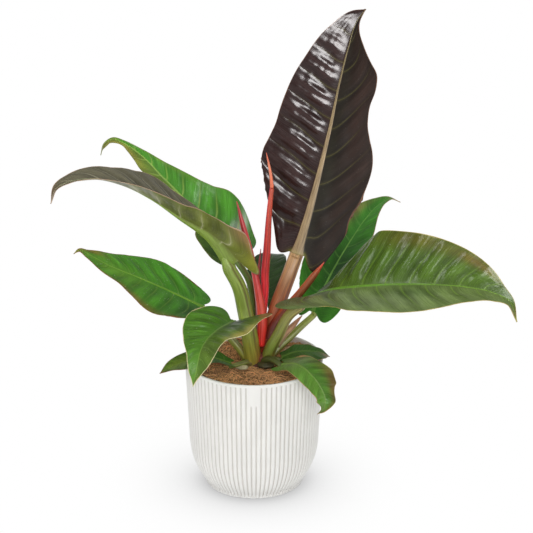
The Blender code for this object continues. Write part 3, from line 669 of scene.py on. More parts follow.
def blade_material(leaf, look):
    """A leaf's skin.

    The tint is crossed by fine streaks that run with the side veins, thin lighter veins that fade
    toward the margin, a midrib band, a thin dry edge and a few pale specks. Veins press into the face.
    """
    skin = Nodes(leaf.name + "_skin")
    tint, line = skin.attribute("tint", "Color"), skin.attribute("line", "Color")
    grain, reach = skin.attribute("grain", "Vector"), skin.attribute("reach")
    vein_colour = linear(*leaf.line[1])
    streaks = skin.noise(skin.stretch(grain, (1.6, 0.05, 1)), 1.0, 4.0, 0.4)
    blotches = skin.noise(skin.stretch(grain, (0.05, 0.05, 1)), 1.0, 3.0)
    shade = skin.math("MULTIPLY", skin.rise(streaks, 0.3, 0.7, 0.8, 1.18), skin.rise(blotches, 0.3, 0.7, 0.82, 1.16))
    colour = skin.mix(1.0, tint, skin.mix(1.0, (1, 1, 1), shade, "MULTIPLY"), "MULTIPLY")
    phase = skin.math("ABSOLUTE", skin.math("SUBTRACT", skin.math("FRACT", skin.attribute("vein")), 0.5))
    vein = skin.rise(phase, 0.484, 0.498)
    fade = skin.rise(reach, 0.35, 1.0, leaf.vein_strength, 0.05)
    colour = skin.mix(skin.math("MULTIPLY", vein, fade), colour, vein_colour)
    halo = skin.math("MULTIPLY", skin.rise(phase, 0.40, 0.5), skin.math("MULTIPLY", fade, 0.35))
    colour = skin.mix(halo, colour, vein_colour)
    rib_noise = skin.noise(skin.stretch(grain, (0.06, 1.6, 1)), 1.0, 3.0)
    rib_tint = skin.mix(skin.rise(rib_noise, 0.35, 0.65, 0, 0.5), line, tint)
    rib = skin.rise(skin.attribute("rib"), 1.12, 0.86)
    colour = skin.mix(rib, colour, rib_tint)
    edge = skin.attribute("edge")
    wander = skin.rise(blotches, 0.3, 0.7, 0.35, 1.0)
    colour = skin.mix(skin.rise(edge, wander, 0.1), colour, linear(*leaf.margin))
    spots = skin.noise(skin.place(), 900.0, 0.0)
    colour = skin.mix(skin.rise(spots, 0.79, 0.83, 0, leaf.specks), colour, (0.62, 0.66, 0.5))
    height = skin.math("ADD", skin.math("MULTIPLY", vein, -0.6), skin.math("MULTIPLY", streaks, 0.5))
    roughness = skin.math("MULTIPLY", skin.attribute("matt"), skin.rise(streaks, 0.25, 0.75, 0.85, 1.2))
    skin.shader.inputs["Specular IOR Level"].default_value = leaf.shine
    return skin.finish(Base_Color=colour, Normal=skin.bump(height, 0.00035, 0.35),
                       Roughness=skin.math("MULTIPLY", roughness, look.roughness_scale))


def stalk_material(name, roughness, fibre_strength):
    """A stalk's skin: the tint with lengthwise fibres and fine pale flecks."""
    skin = Nodes(name)
    grain = skin.attribute("grain", "Vector")
    fibres = skin.noise(skin.stretch(grain, (1.5, 1.5, 0.05)), 1.0, 4.0, 0.3)
    broad = skin.noise(skin.stretch(grain, (0.35, 0.35, 0.03)), 1.0, 2.0)
    shade = skin.math("MULTIPLY", skin.rise(fibres, 0.3, 0.7, 1 - fibre_strength, 1 + fibre_strength),
                      skin.rise(broad, 0.3, 0.7, 0.85, 1.15))
    colour = skin.mix(1.0, skin.attribute("tint", "Color"), skin.mix(1.0, (1, 1, 1), shade, "MULTIPLY"),
                      "MULTIPLY")
    flecks = skin.noise(skin.stretch(grain, (1.2, 1.2, 0.5)), 1.0, 1.0)
    colour = skin.mix(skin.rise(flecks, 0.72, 0.78, 0, 0.35), colour, linear(226, 210, 170))
    return skin.finish(Base_Color=colour, Normal=skin.bump(fibres, 0.0003, 0.6),
                       Roughness=skin.rise(fibres, 0.3, 0.7, roughness * 0.85, roughness * 1.25))


def paint_blade(leaf, colours, t, s):
    """A face's tint: each half's own colour, met softly at the midrib, with the leaf's zones."""
    right = rise(s, -0.06, 0.06)[..., None]
    tint = np.array(linear(*colours[0])) * (1 - right) + np.array(linear(*colours[1])) * right
    for place, side, reach_along, reach_across, colour, strength in leaf.zones:
        near = strength * np.exp(-((t - place) / reach_along) ** 2 - ((s - side) / reach_across) ** 2)[..., None]
        tint = tint * (1 - near) + np.array(linear(*colour)) * near
    return tint


def blade_columns(leaf, t, keel, count=24, inner=7):
    """Places across the blade for each row: close together over the keel, then even to each margin."""
    halves = []
    for widths in (leaf.left, leaf.right):
        core = np.minimum(keel * 1.08 / half_width(widths, t), 0.6)[:, None]
        near = core * np.linspace(0, 1, inner + 1)[1:]
        far = core + (1 - core) * np.sin(np.linspace(0, math.pi / 2, count + 1)[1:])
        halves.append(np.concatenate([near, far], 1))
    return np.concatenate([-halves[0][:, ::-1], np.zeros((len(t), 1)), halves[1]], 1)


def build_blade(leaf, look):
    """A leaf's blade.

    The smooth upper face is lifted between its side veins by a rounded pleat, highest a third of the
    way to the margin, with finer folds on it and a slow wave at the margin. A low rounded midrib
    stands on it. The underside follows it a blade's thickness below, with the midrib's keel as half an
    ellipse that runs out toward the tip.
    """
    t = np.linspace(0, 1, leaf.rows)
    keel = leaf.stalk_radius[1] * 0.97 * (1 - t) ** 2 + 0.4
    s = blade_columns(leaf, t, keel)
    face = blade_face(leaf, t, s)
    _, forward, _, out = (part[:, None] for part in midrib_frame(leaf, t))
    q, row = np.abs(s), np.broadcast_to(t[:, None], s.shape)
    right = s > 0
    near = np.clip(1 - row / LOBE_REACH, 0, 1) ** 2
    perk = np.where(right, leaf.perk[1], leaf.perk[0]) * np.sin(math.pi * q)
    horn = np.where(right, leaf.horns[1], leaf.horns[0]) * q ** 4
    face += (near * perk)[..., None] * out - (near * horn)[..., None] * forward
    normal = grid_normals(face)
    width = np.where(right, half_width(leaf.right, t)[:, None], half_width(leaf.left, t)[:, None])
    distance = q * width
    place = np.stack([row * 3, s * 1.5], -1)
    lean = np.where(right, leaf.lean[1], leaf.lean[0]) * q ** 1.4
    count = np.where(right, leaf.veins[1], leaf.veins[0])
    phase = count * (row - lean + 0.008 * ripple(place, 1.6, 5)) + np.where(right, 0.35, 0.0)
    depth = np.where(right, leaf.pleats[1], leaf.pleats[0]) * look.pleat_scale
    swell = rise(distance, keel[:, None] * 0.9, keel[:, None] * 0.9 + 14) * (1 - 0.88 * q ** 3)
    ends = rise(row, 0, 0.1) * (1 - 0.75 * rise(row, 0.6, 1))
    fold = np.abs(np.sin(math.pi * phase)) ** 0.8 - 0.5
    fine = 0.16 * np.sin(6 * math.pi * phase + 3 * q) + 0.1 * ripple(place * 6, 1.0, 9)
    lift = depth * swell * ends * (fold + fine)
    lift += leaf.dents * swell * ends * ripple(face, 26, 4)
    lift += leaf.wave * q ** 3 * ends * ripple(np.stack([row * 4, np.sign(s) * 2], -1), 1.2, len(leaf.name))
    band = leaf.stalk_radius[1] * (leaf.rib * (1 - row) ** 1.7 + (0.95 - leaf.rib) * np.exp(-row / 0.025))
    band += 0.35
    lift += 0.35 * band * np.sqrt(np.clip(1 - (distance / band) ** 2, 0, 1))
    top = face + lift[..., None] * normal
    depth = leaf.stalk_radius[1] * 1.5 * (1 - row) ** 5 + 0.25 * keel[:, None] * (1 - row)
    deep = depth * np.sqrt(np.clip(1 - (distance / (keel[:, None] * 1.05)) ** 2, 0, 1))
    thickness = look.thickness / MM * (1 - 0.5 * q ** 2)
    bottom = top - thickness[..., None] * normal - deep[..., None] * out
    # Painted highlight and shade: the upper face is painted lighter on the pleats' backs and darker in their hollows,
    # the underside the other way round.
    pleat_painted_light = 1 + PLEAT_PAINTED_LIGHT * (swell * ends * (2 * np.sin(math.pi * phase) ** 2 - 1))[..., None]
    tint = paint_blade(leaf, leaf.upper, row, s) * pleat_painted_light
    under = paint_blade(leaf, (leaf.under, leaf.under), row, s) / pleat_painted_light
    line = gradient(((0, leaf.line[0]), (0.45, leaf.line[0]), (1, leaf.line[1])), row)
    grain = np.stack([phase * 24, distance, np.sign(s) * 3 + 7], -1)
    matt = np.where(right, leaf.gloss[1], leaf.gloss[0])
    both = {
        "tint": (tint, under), "line": (line, line), "grain": (grain, grain + (0, 0, 11)),
        "reach": (np.maximum(q, rise(row, 0.8, 1)),) * 2, "vein": (phase, phase),
        "edge": ((1 - q) * width,) * 2,
        "rib": (distance / band, distance / (keel[:, None] * 1.05)), "matt": (matt, matt + 0.12),
    }
    values = {key: np.concatenate([part.reshape(-1, *part.shape[2:]) for part in pair])
              for key, pair in both.items()}
    vertices = np.concatenate([top.reshape(-1, 3), bottom.reshape(-1, 3)])
    return add_piece(leaf.name + "_blade", vertices, sheet_faces(*s.shape), values,
                     blade_material(leaf, look), (leaf.name,))


def tube_arrays(route, radii, section, sides):
    """Rings of points round a route, with a pole at each end.

    Each point stands off the route by the radius times the section, a function of the place along and
    of the angle round from the right toward the front.
    """
    forward = unit(np.gradient(route, axis=0))
    side = unit(np.cross(forward, (0.0, -1.0, 0.0)))
    front = np.cross(side, forward)
    angle = np.linspace(0, 2 * math.pi, sides, endpoint=False)[None, :]
    t = np.linspace(0, 1, len(route))[:, None]
    reach = radii[:, None] * section(t, angle)
    offset = reach[..., None] * (np.cos(angle)[..., None] * side[:, None] + np.sin(angle)[..., None] * front[:, None])
    length = np.concatenate([[0], np.cumsum(np.linalg.norm(np.diff(route, axis=0), axis=1))])
    grain = np.stack([reach * np.cos(angle), reach * np.sin(angle), np.broadcast_to(length[:, None], reach.shape)], -1)
    points = (route[:, None] + offset).reshape(-1, 3)
    ends = np.stack([route[0] - forward[0] * radii[0] * 0.2, route[-1] + forward[-1] * radii[-1] * 0.2])
    rings = np.arange(len(route) * sides).reshape(len(route), sides)
    triangles = np.concatenate([cap_faces(rings[0], len(points), False),
                                cap_faces(rings[-1], len(points) + 1, True)])
    vertices = np.concatenate([points, ends])
    grain = np.concatenate([grain.reshape(-1, 3), [[0, 0, 0], [0, 0, length[-1]]]])
    place = np.concatenate([np.broadcast_to(t, reach.shape).ravel(), [0, 1]])
    round_place = np.concatenate([np.broadcast_to(angle, reach.shape).ravel(), [0, 0]])
    return vertices, ring_faces(len(route), sides), triangles, grain, place, round_place


def stalk_path(leaf):
    """The stalk's route and radii: from the stem to the blade, where it runs out into the midrib."""
    mid, forward, _, out = midrib_frame(leaf, np.array([0.0]))
    radius = leaf.stalk_radius[1]
    seat = mid[0] - out[0] * (0.8 + radius + GAP)
    bend = seat - forward[0] * radius * 0.5
    route = smooth_route((*leaf.stalk, bend), np.linspace(0, 1, 44))
    t = np.linspace(0, 0.05, 9)
    mid, _, _, out = midrib_frame(leaf, t)
    taper = np.linspace(1, leaf.rib, len(t)) * radius
    return np.concatenate([route, mid - out * (taper * 0.94)[:, None]]), np.concatenate([
        along((leaf.stalk_radius[0], sum(leaf.stalk_radius) / 2, radius), np.linspace(0, 1, 44)), taper])


def build_stalk(leaf, look, replaced):
    """A leaf's stalk: a tapering tube with a shallow channel along its front and faint ridges."""
    route, radii = stalk_path(leaf)
    channel = math.radians(50)

    def section(t, angle):
        """Round, with a channel and fine ridges."""
        away = np.angle(np.exp(1j * (angle - channel)))
        return 1 - 0.10 * np.exp(-(away / 0.16) ** 2) * rise(t, 0.05, 0.3) + 0.008 * np.sin(13 * angle + 4 * t)

    vertices, quads, triangles, grain, place, turn = tube_arrays(route, radii, section, 40)
    tint = gradient(leaf.stalk_colours, place)
    away = np.angle(np.exp(1j * (turn - channel)))
    crease = (0.8 * np.exp(-(away / 0.14) ** 2) * rise(place, 0.1, 0.3))[:, None]
    tint = tint * (1 - crease) + np.array(linear(96, 40, 34)) * crease
    low = (0.7 * (1 - rise(place, 0.0, 0.3)) * rise(np.cos(turn), 0.1, 0.95))[:, None]
    tint = tint * (1 - low) + np.array(linear(186, 70, 50)) * low
    material = stalk_material("stalk_of_" + leaf.name, look.roughness, look.fibre_strength)
    return add_piece("stalk_of_" + leaf.name, vertices, quads, {"tint": tint, "grain": grain}, material,
                     replaced, triangles)


def build_roll(roll, look):
    """A rolled sheath: a tapering tube whose outer edge laps over its front in a low step, with painted shade along the
    lap.
    """
    t = np.linspace(0, 1, 70)
    route = smooth_route(roll.route, t)
    lap = math.radians(roll.lap)

    def section(t, angle):
        """A spiral's turn: the radius grows slowly round and drops back at the lap."""
        away = np.mod(angle - lap, 2 * math.pi) / (2 * math.pi)
        return 0.92 + 0.14 * away * rise(away, 0, 0.03) + 0.02 * np.cos(2 * (angle - lap))

    radii = np.maximum(along(roll.radii, t), 0.25)
    vertices, quads, triangles, grain, place, turn = tube_arrays(route, radii, section, 48)
    tint = gradient(roll.colours, place)
    side = (0.85 * rise(-np.cos(turn - 0.5), 0.0, 0.9) * rise(place, 0.15, 0.35))[:, None]
    tint = tint * (1 - side) + np.array(linear(*roll.side_colour)) * side
    # Painted shade: a dark line along the lap, under the rolled edge.
    away = np.angle(np.exp(1j * (turn - lap)))
    dark = (0.45 * np.exp(-(away / 0.14) ** 2))[:, None]
    tint = tint * (1 - dark * 0.8)
    material = stalk_material(roll.name + "_skin", roll.roughness, look.fibre_strength * 0.6)
    return add_piece(roll.name + "_detail", vertices, quads, {"tint": tint, "grain": grain}, material,
                     (roll.name,), triangles)


def ball_arrays(centre, radii, rows=24, sides=36):
    """A sphere's points, stretched to three radii, roughened and placed."""
    lift = np.linspace(-math.pi / 2, math.pi / 2, rows + 2)[1:-1, None]
    angle = np.linspace(0, 2 * math.pi, sides, endpoint=False)[None, :]
    ball = np.stack([np.cos(lift) * np.cos(angle), np.cos(lift) * np.sin(angle),
                     np.broadcast_to(np.sin(lift), (rows, sides))], -1).reshape(-1, 3)
    ball = np.concatenate([ball, [[0, 0, -1], [0, 0, 1]]])
    rings = np.arange(rows * sides).reshape(rows, sides)
    triangles = np.concatenate([cap_faces(rings[0], rows * sides, False), cap_faces(rings[-1], rows * sides + 1, True)])
    lumps = 1 + 0.10 * ripple(ball, 1.1, int(abs(centre[0] * 7) + radii[0] * 5))[:, None]
    return ball * lumps * radii + centre, ring_faces(rows, sides), triangles, ball * radii


CROWN_LUMPS = (
    ((6, 5, 128), (17, 16, 9), (96, 56, 34)),
    ((12, -13, 132.5), (8.5, 7, 3.6), (70, 66, 28)),
    ((-12, -15, 130.5), (6.5, 4, 2.6), (190, 180, 140)),
    ((-5, -3, 131), (8, 8, 7), (116, 104, 50)),
    ((17, 3, 131), (7, 7, 7), (112, 100, 46)),
    ((9, -4, 134), (7, 6, 8), (128, 62, 44)),
)


def build_crown(look):
    """The stem's foot: rounded lumps that the stalks rise from, with a cut stub in front."""
    parts, tints, grains, quads, triangles, count = [], [], [], [], [], 0
    for centre, radii, colour in CROWN_LUMPS:
        points, faces, caps, grain = ball_arrays(np.array(centre), np.array(radii))
        parts.append(points)
        quads.append(faces + count)
        triangles.append(caps + count)
        grains.append(grain)
        tints.append(np.broadcast_to(np.array(linear(*colour)), points.shape))
        count += len(points)
    values = {"tint": np.concatenate(tints), "grain": np.concatenate(grains)}
    return add_piece("crown", np.concatenate(parts), np.concatenate(quads), values,
                     stalk_material("crown_skin", 0.6, look.fibre_strength), (),
                     np.concatenate(triangles))


def side_radius(height, look):
    """The pot's outer radius: a straight flare with the belly's curve taken off below."""
    straight = look.rim_radius / MM - SIDE_SLOPE * (look.height / MM - height)
    low = np.clip((BELLY_HEIGHT - height) / (BELLY_HEIGHT - FOOT_HEIGHT), 0, 1)
    return straight - BELLY_DROP * low ** BELLY_POWER


def build_pot(look):
    """The pot: a turned wall with ribs.

    The outer radius drops in a narrow rounded groove between two broad, slightly crowned ribs. Each
    groove fades out below the rim, and the front ones end at the bare patch. Over the rounded rim the
    same turned grid runs down inside.
    """
    top = look.height / MM
    lip = WALL / 2
    bend = np.linspace(0, math.pi, 9)
    heights = np.concatenate([
        [FOOT_HEIGHT * 0.25, FOOT_HEIGHT * 0.6], np.linspace(FOOT_HEIGHT, BELLY_HEIGHT, 15)[:-1],
        np.linspace(BELLY_HEIGHT, 100, 8)[:-1], np.linspace(100, GROOVE_TOP - 2, 18), np.linspace(GROOVE_TOP - 1.6, top - lip, 9)])
    outer = side_radius(heights, look)
    outer = np.where(heights < FOOT_HEIGHT, FOOT_RADIUS + (outer - FOOT_RADIUS) * 0.85, outer)
    rim_centre = side_radius(top - lip, look) - lip
    inner_heights = np.linspace(top - lip, 110, 8)[1:]
    profile = np.concatenate([
        [[FOOT_RADIUS - 14, 1.2], [FOOT_RADIUS - 9, 1.0], [FOOT_RADIUS - 8, 0], [FOOT_RADIUS - 0.8, 0],
         [FOOT_RADIUS, 0.5]],
        np.stack([outer, heights], 1),
        np.stack([rim_centre + lip * np.cos(bend[1:]), top - lip + lip * np.sin(bend[1:])], 1),
        np.stack([side_radius(inner_heights, look) - WALL, inner_heights], 1),
        [[side_radius(110, look) - WALL - 6, 109]]])
    sides = look.rib_count * 11
    angle = np.linspace(0, 2 * math.pi, sides, endpoint=False)[None, :]
    radius, height = profile[:, :1], profile[:, 1:]
    pitch = 2 * math.pi / look.rib_count
    away = np.abs(np.mod(angle / pitch, 1) - 0.5) * 2
    groove = 1 - rise(away, 0.04, 0.42)
    crown = 0.18 * np.clip(1 - ((away - 1) / 0.8) ** 2, 0, 1)
    column = np.floor(angle / pitch) * pitch + pitch / 2
    front = np.abs(np.angle(np.exp(1j * (column + math.pi / 2)))) < math.radians(PATCH_HALF_ANGLE)
    end = np.where(front, PATCH_BOTTOM, GROOVE_TOP)
    outside = (np.arange(len(profile)) >= 4) & (np.arange(len(profile)) < 5 + len(heights))
    shown = rise(end - height, 0, 1.4) * rise(height, 1.0, 3.0) * outside[:, None]
    drop = look.groove_depth / MM * (groove - crown) * shown
    ring = np.maximum(radius - np.maximum(drop, -0.15), 0)
    points = np.stack([ring * np.cos(angle), ring * np.sin(angle), np.broadcast_to(height, ring.shape)], -1)
    rings = np.arange(len(profile) * sides).reshape(len(profile), sides)
    vertices = np.concatenate([points.reshape(-1, 3), [[0, 0, 1.2], [0, 0, 109]]])
    triangles = np.concatenate([cap_faces(rings[0], rings.size, False), cap_faces(rings[-1], rings.size + 1, True)])
    # Mask of the grooves for the painted shade below.
    depth = np.concatenate([np.broadcast_to(groove * shown, ring.shape).ravel(), [0, 0]])
    skin = Nodes("pot_glaze")
    mottle = skin.noise(skin.place(), 45.0, 4.0)
    pores = skin.noise(skin.place(), 1400.0, 2.0)
    colour = skin.mix(skin.rise(mottle, 0.35, 0.65, 0.0, 1.0), tuple(0.96 * c for c in look.colour), look.colour)
    # Painted shade: the grooves are painted a darker grey.
    colour = skin.mix(skin.math("MULTIPLY", skin.attribute("groove"), 0.75), colour, linear(190, 184, 176))
    material = skin.finish(Base_Color=colour, Normal=skin.bump(pores, 0.00006, 0.5),
                           Roughness=skin.rise(mottle, 0.3, 0.7, look.roughness * 0.9, look.roughness * 1.15))
    return add_piece("pot_detail", vertices, ring_faces(len(profile), sides), {"groove": depth}, material,
                     ("pot",), triangles)


def coir_height(x, y):
    """The coir's top over its level, in millimetres: lumps, smaller crumbs and fine grit added up."""
    places = np.stack([x, y], -1)
    lumps = 1.6 * ripple(places, 26, 21) + 0.9 * ripple(places, 9, 22) + 0.5 * ripple(places, 3.5, 23)
    heap = 3.2 * np.exp(-((x - 42) ** 2 + (y - 40) ** 2) / 160)
    return lumps + heap


def build_coir(pot, look):
    """The coir's bed: rings of points out to the pot's wall, raised by the coir's height, and a hidden
    underside below them."""
    level = look.level / MM
    wall = side_radius(level, pot) - WALL - 0.4
    radii = np.concatenate([np.linspace(1, wall, 90), [wall, wall - 4]])[:, None]
    angle = np.linspace(0, 2 * math.pi, 360, endpoint=False)[None, :]
    x, y = radii * np.cos(angle), radii * np.sin(angle)
    rough = coir_height(x, y)
    z = level + rough - 1.2
    z[-2:] = level - 9
    points = np.stack([x, y, z], -1)
    count = x.size
    rings = np.arange(count).reshape(x.shape)
    vertices = np.concatenate([points.reshape(-1, 3), [[0, 0, z[0].mean()], [0, 0, level - 9]]])
    triangles = np.concatenate([cap_faces(rings[0], count, True), cap_faces(rings[-1], count + 1, False)])
    shade = np.concatenate([rise(rough, -1.6, 1.8).ravel(), [0.5, 0]])
    skin = Nodes("coir_bed")
    crumbs = skin.noise(skin.place(), 420.0, 5.0, 0.8)
    strands = skin.noise(skin.stretch(skin.place(), (1, 0.3, 1)), 900.0, 3.0, 2.5)
    colour = skin.mix(skin.rise(crumbs, 0.35, 0.65), look.dark, tuple(0.75 * c for c in look.light))
    colour = skin.mix(skin.math("MULTIPLY", skin.rise(strands, 0.5, 0.62), 0.7), colour, look.light)
    # Painted shade: the coir's low places are darkened toward half its dark colour.
    colour = skin.mix(skin.rise(skin.attribute("raised"), 0.0, 1.0, 0.55, 0.0), colour, tuple(0.5 * c for c in look.dark))
    height = skin.math("ADD", crumbs, skin.math("MULTIPLY", strands, 0.5))
    material = skin.finish(Base_Color=colour, Roughness=0.9, Normal=skin.bump(height, 0.0012, 1.0))
    return add_piece("coir_bed", vertices, ring_faces(*x.shape)[:, ::-1], {"raised": shade}, material,
                     ("coir",), triangles)


def build_fibres(pot, look):
    """Loose fibres on the coir: thin four-sided strands that curl and dip, drawn with a fixed seed.

    A strand's course turns by a slow sine of its own, starts anywhere on the coir and rides on its
    height, with its middle arched a little.
    """
    draw = np.random.default_rng(11)
    count, steps = look.fibre_count, 9
    wall = side_radius(look.level / MM, pot) - WALL - 1.5
    start_radius = wall * np.sqrt(draw.uniform(0.06, 0.95, count))
    start_angle = draw.uniform(0, 2 * math.pi, count)
    u = np.linspace(0, 1, steps)[None, :]
    length = draw.uniform(6, 24, count)[:, None]
    heading = draw.uniform(0, 2 * math.pi, count)[:, None] + draw.uniform(-2.4, 2.4, count)[:, None] * u \
        + draw.uniform(0.2, 0.9, count)[:, None] * np.sin(6 * u + draw.uniform(0, 6, count)[:, None])
    x = start_radius[:, None] * np.cos(start_angle)[:, None] + np.cumsum(np.cos(heading), 1) * length / steps
    y = start_radius[:, None] * np.sin(start_angle)[:, None] + np.cumsum(np.sin(heading), 1) * length / steps
    limit = np.minimum(1, wall / np.maximum(np.hypot(x, y), 1e-6))
    x, y = x * limit, y * limit
    arch = draw.uniform(-0.4, 1.5, count)[:, None] * np.sin(math.pi * u)
    z = look.level / MM + coir_height(x, y) - 1.2 + 0.15 + arch
    centre = np.stack([x, y, z], -1)
    forward = unit(np.gradient(centre, axis=1))
    side = unit(np.cross(forward, (0.0, 0.0, 1.0)))
    up = np.cross(side, forward)
    thick = draw.uniform(0.12, 0.34, count)[:, None] * (1 - 0.7 * np.abs(2 * u - 1) ** 3)
    corners = np.array([0, 1, 2, 3]) * math.pi / 2
    ring = (np.cos(corners)[:, None] * side[:, :, None] + np.sin(corners)[:, None] * up[:, :, None])
    points = centre[:, :, None] + ring * thick[:, :, None, None]
    index = np.arange(count * steps * 4).reshape(count, steps, 4)
    after = np.roll(index, -1, axis=2)
    quads = np.stack([index[:, :-1], after[:, :-1], after[:, 1:], index[:, 1:]], -1).reshape(-1, 4)
    ends = np.concatenate([index[:, 0, ::-1], index[:, -1]])
    shade = draw.uniform(0, 1, count) ** 0.7
    colours = np.array(look.dark) * (1 - shade)[:, None] * 1.3 + np.array(look.light) * shade[:, None] * 1.15
    tint = np.repeat(colours, steps * 4, axis=0)
    skin = Nodes("coir_fibre")
    flecks = skin.noise(skin.place(), 700.0, 3.0)
    colour = skin.mix(1.0, skin.attribute("tint", "Color"),
                      skin.mix(1.0, (1, 1, 1), skin.rise(flecks, 0.3, 0.7, 0.7, 1.3), "MULTIPLY"), "MULTIPLY")
    material = skin.finish(Base_Color=colour, Roughness=0.75, Normal=skin.bump(flecks, 0.0002, 0.5))
    return add_piece("coir_fibres", points.reshape(-1, 3), np.concatenate([quads, ends]), {"tint": tint},
                     material)


def aim(thing, target):
    """Turn a light or camera so that it looks at the target."""
    thing.rotation_euler = (Vector(target) - thing.location).to_track_quat("-Z", "Y").to_euler()


def add_area_light(name, turn, lift, size, power, glossy=()):
    """A soft light of a given width and height, two metres off, that looks at the plant's middle.

    It stands at an angle round the plant from the camera's side toward +X, and at one above the floor,
    both in degrees. Where glossy names pieces, it only shows as gloss, and only on them.
    """
    lamp = bpy.data.lights.new(name, "AREA")
    lamp.shape = "RECTANGLE"
    lamp.size, lamp.size_y = size
    lamp.energy = power
    light = bpy.data.objects.new(name, lamp)
    turn, lift = math.radians(turn), math.radians(lift)
    away = Vector((math.sin(turn) * math.cos(lift), -math.cos(turn) * math.cos(lift), math.sin(lift)))
    light.location = 2.0 * away + Vector(PLANT_MIDDLE)
    light.visible_diffuse = not glossy
    light.visible_glossy = bool(glossy)
    if glossy:
        light.light_linking.receiver_collection = bpy.data.collections.new("lit_by_" + name)
        for piece in glossy:
            light.light_linking.receiver_collection.objects.link(piece)
    bpy.context.scene.collection.objects.link(light)
    aim(light, PLANT_MIDDLE)


def build_stage(look):
    """A pale floor, an even room, a soft light at the front left, a large one overhead, and the camera.

    The floor glows evenly, and a painted contact shadow dims its glow by ambient occlusion where something stands close
    over it.
    """
    half = look.floor_size / 2
    mesh = bpy.data.meshes.new("floor")
    mesh.from_pydata([(-half, -half, -0.0005), (half, -half, -0.0005), (half, half, -0.0005), (-half, half, -0.0005)],
                     [], [(0, 1, 2, 3)])
    paper = Nodes("floor_paper")
    # Painted contact shadow: ambient occlusion within 13 cm dims the floor's glow.
    near = paper.tree.nodes.new("ShaderNodeAmbientOcclusion")
    near.inputs["Distance"].default_value = 0.13
    glow_with_painted_shadow = paper.math("MULTIPLY", paper.rise(near.outputs["AO"], 0.1, 0.95, 0.5, 1.0), look.floor_glow)
    paper.shader.inputs["Specular IOR Level"].default_value = 0.0
    mesh.materials.append(paper.finish(Base_Color=(0, 0, 0, 1), Emission_Color=(1, 1, 1, 1),
                                       Emission_Strength=glow_with_painted_shadow))
    floor = bpy.data.objects.new("floor", mesh)
    bpy.context.scene.collection.objects.link(floor)
    world = bpy.data.worlds.new("room")
    world.use_nodes = True
    world.node_tree.nodes["Background"].inputs["Color"].default_value = (1, 1, 1, 1)
    world.node_tree.nodes["Background"].inputs["Strength"].default_value = look.sky
    bpy.context.scene.world = world
    add_area_light("key_light", -32, 25, (0.8, 0.8), look.key)
    add_area_light("front_light", 12, 24, (1.0, 1.0), look.fill)
    add_area_light("top_light", 180, 82, (1.5, 1.5), look.top)
    dark_leaf = bpy.data.objects[LEAVES[0].name + "_blade"]
    others = [piece for piece in bpy.context.scene.objects if piece.type == "MESH" and piece != dark_leaf]
    add_area_light("gloss_right", 27, 20, (0.7, 1.2), look.gloss, others)
    add_area_light("gloss_left", -27, 18, (0.35, 1.0), 0.35 * look.gloss, others)
    add_area_light("gloss_dark", 27, 20, (0.7, 1.2), 3.4 * look.gloss, [dark_leaf])
    camera = bpy.data.objects.new("camera", bpy.data.cameras.new("camera"))
    camera.location = look.camera
    camera.rotation_euler = (math.pi / 2 - look.elevation, 0, 0)
    camera.data.lens = look.lens
    camera.data.sensor_width = 36.0
    camera.data.clip_end = 50
    bpy.context.scene.collection.objects.link(camera)
    bpy.context.scene.camera = camera
    bpy.context.scene.view_settings.view_transform = "Standard"


class PLANT_OT_pot(bpy.types.Operator):
    """Build the ribbed pot"""
    bl_idname = "plant.pot"
    bl_label = "Pot"

    def execute(self, context):
        build_pot(context.scene.pot_look)
        return {"FINISHED"}


class PLANT_OT_coir(bpy.types.Operator):
    """Build the coir and its loose fibres"""
    bl_idname = "plant.coir"
    bl_label = "Coir"

    def execute(self, context):
        build_coir(context.scene.pot_look, context.scene.coir_look)
        build_fibres(context.scene.pot_look, context.scene.coir_look)
        return {"FINISHED"}


class PLANT_OT_stalks(bpy.types.Operator):
    """Build the crown and the stalks"""
    bl_idname = "plant.stalks"
    bl_label = "Crown and stalks"

    def execute(self, context):
        look = context.scene.stalk_look
        build_crown(look)
        for leaf in LEAVES:
            build_stalk(leaf, look, ("stem_and_stalks",) if leaf is LEAVES[0] else ())
        return {"FINISHED"}


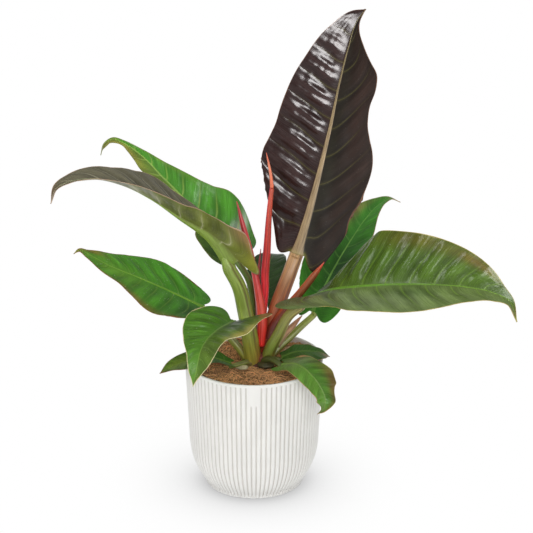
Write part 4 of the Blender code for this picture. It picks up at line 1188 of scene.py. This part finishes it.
class PLANT_OT_rolls(bpy.types.Operator):
    """Build the sheaths and the rolled new leaf"""
    bl_idname = "plant.rolls"
    bl_label = "Sheaths and new leaf"

    def execute(self, context):
        for roll in ROLLS:
            build_roll(roll, context.scene.stalk_look)
        return {"FINISHED"}


class PLANT_OT_blades(bpy.types.Operator):
    """Build the leaf blades"""
    bl_idname = "plant.blades"
    bl_label = "Blades"

    def execute(self, context):
        for leaf in LEAVES:
            build_blade(leaf, context.scene.blade_look)
        return {"FINISHED"}


class PLANT_OT_stage(bpy.types.Operator):
    """Build the floor, lights and camera"""
    bl_idname = "plant.stage"
    bl_label = "Stage"

    def execute(self, context):
        build_stage(context.scene.stage_look)
        return {"FINISHED"}


GROUPS = {"pot_look": PotLook, "coir_look": CoirLook, "blade_look": BladeLook, "stalk_look": StalkLook,
          "stage_look": StageLook}
OPERATORS = (PLANT_OT_pot, PLANT_OT_coir, PLANT_OT_stalks, PLANT_OT_rolls, PLANT_OT_blades, PLANT_OT_stage)


class PLANT_PT_panel(bpy.types.Panel):
    """The plant's operators and settings"""
    bl_label = "Potted philodendron"
    bl_idname = "PLANT_PT_panel"
    bl_space_type = "VIEW_3D"
    bl_region_type = "UI"
    bl_category = "Plant"

    def draw(self, context):
        for operator in OPERATORS:
            self.layout.operator(operator.bl_idname)
        for name, group in GROUPS.items():
            box = self.layout.box()
            box.label(text=group.__name__)
            for key in group.__annotations__:
                box.prop(getattr(context.scene, name), key)


def register():
    """Register the classes and hang the settings on the scene."""
    for group in (*GROUPS.values(), *OPERATORS, PLANT_PT_panel):
        bpy.utils.register_class(group)
    for name, group in GROUPS.items():
        setattr(bpy.types.Scene, name, PointerProperty(type=group))


def unregister():
    """Take the settings and the classes away again."""
    for name in GROUPS:
        delattr(bpy.types.Scene, name)
    for group in (PLANT_PT_panel, *reversed(OPERATORS), *reversed(list(GROUPS.values()))):
        bpy.utils.unregister_class(group)


def main():
    """Build every piece and the stage."""
    register()
    bpy.ops.plant.pot()
    bpy.ops.plant.coir()
    bpy.ops.plant.stalks()
    bpy.ops.plant.rolls()
    bpy.ops.plant.blades()
    bpy.ops.plant.stage()


if __name__ == "__main__":
    main()
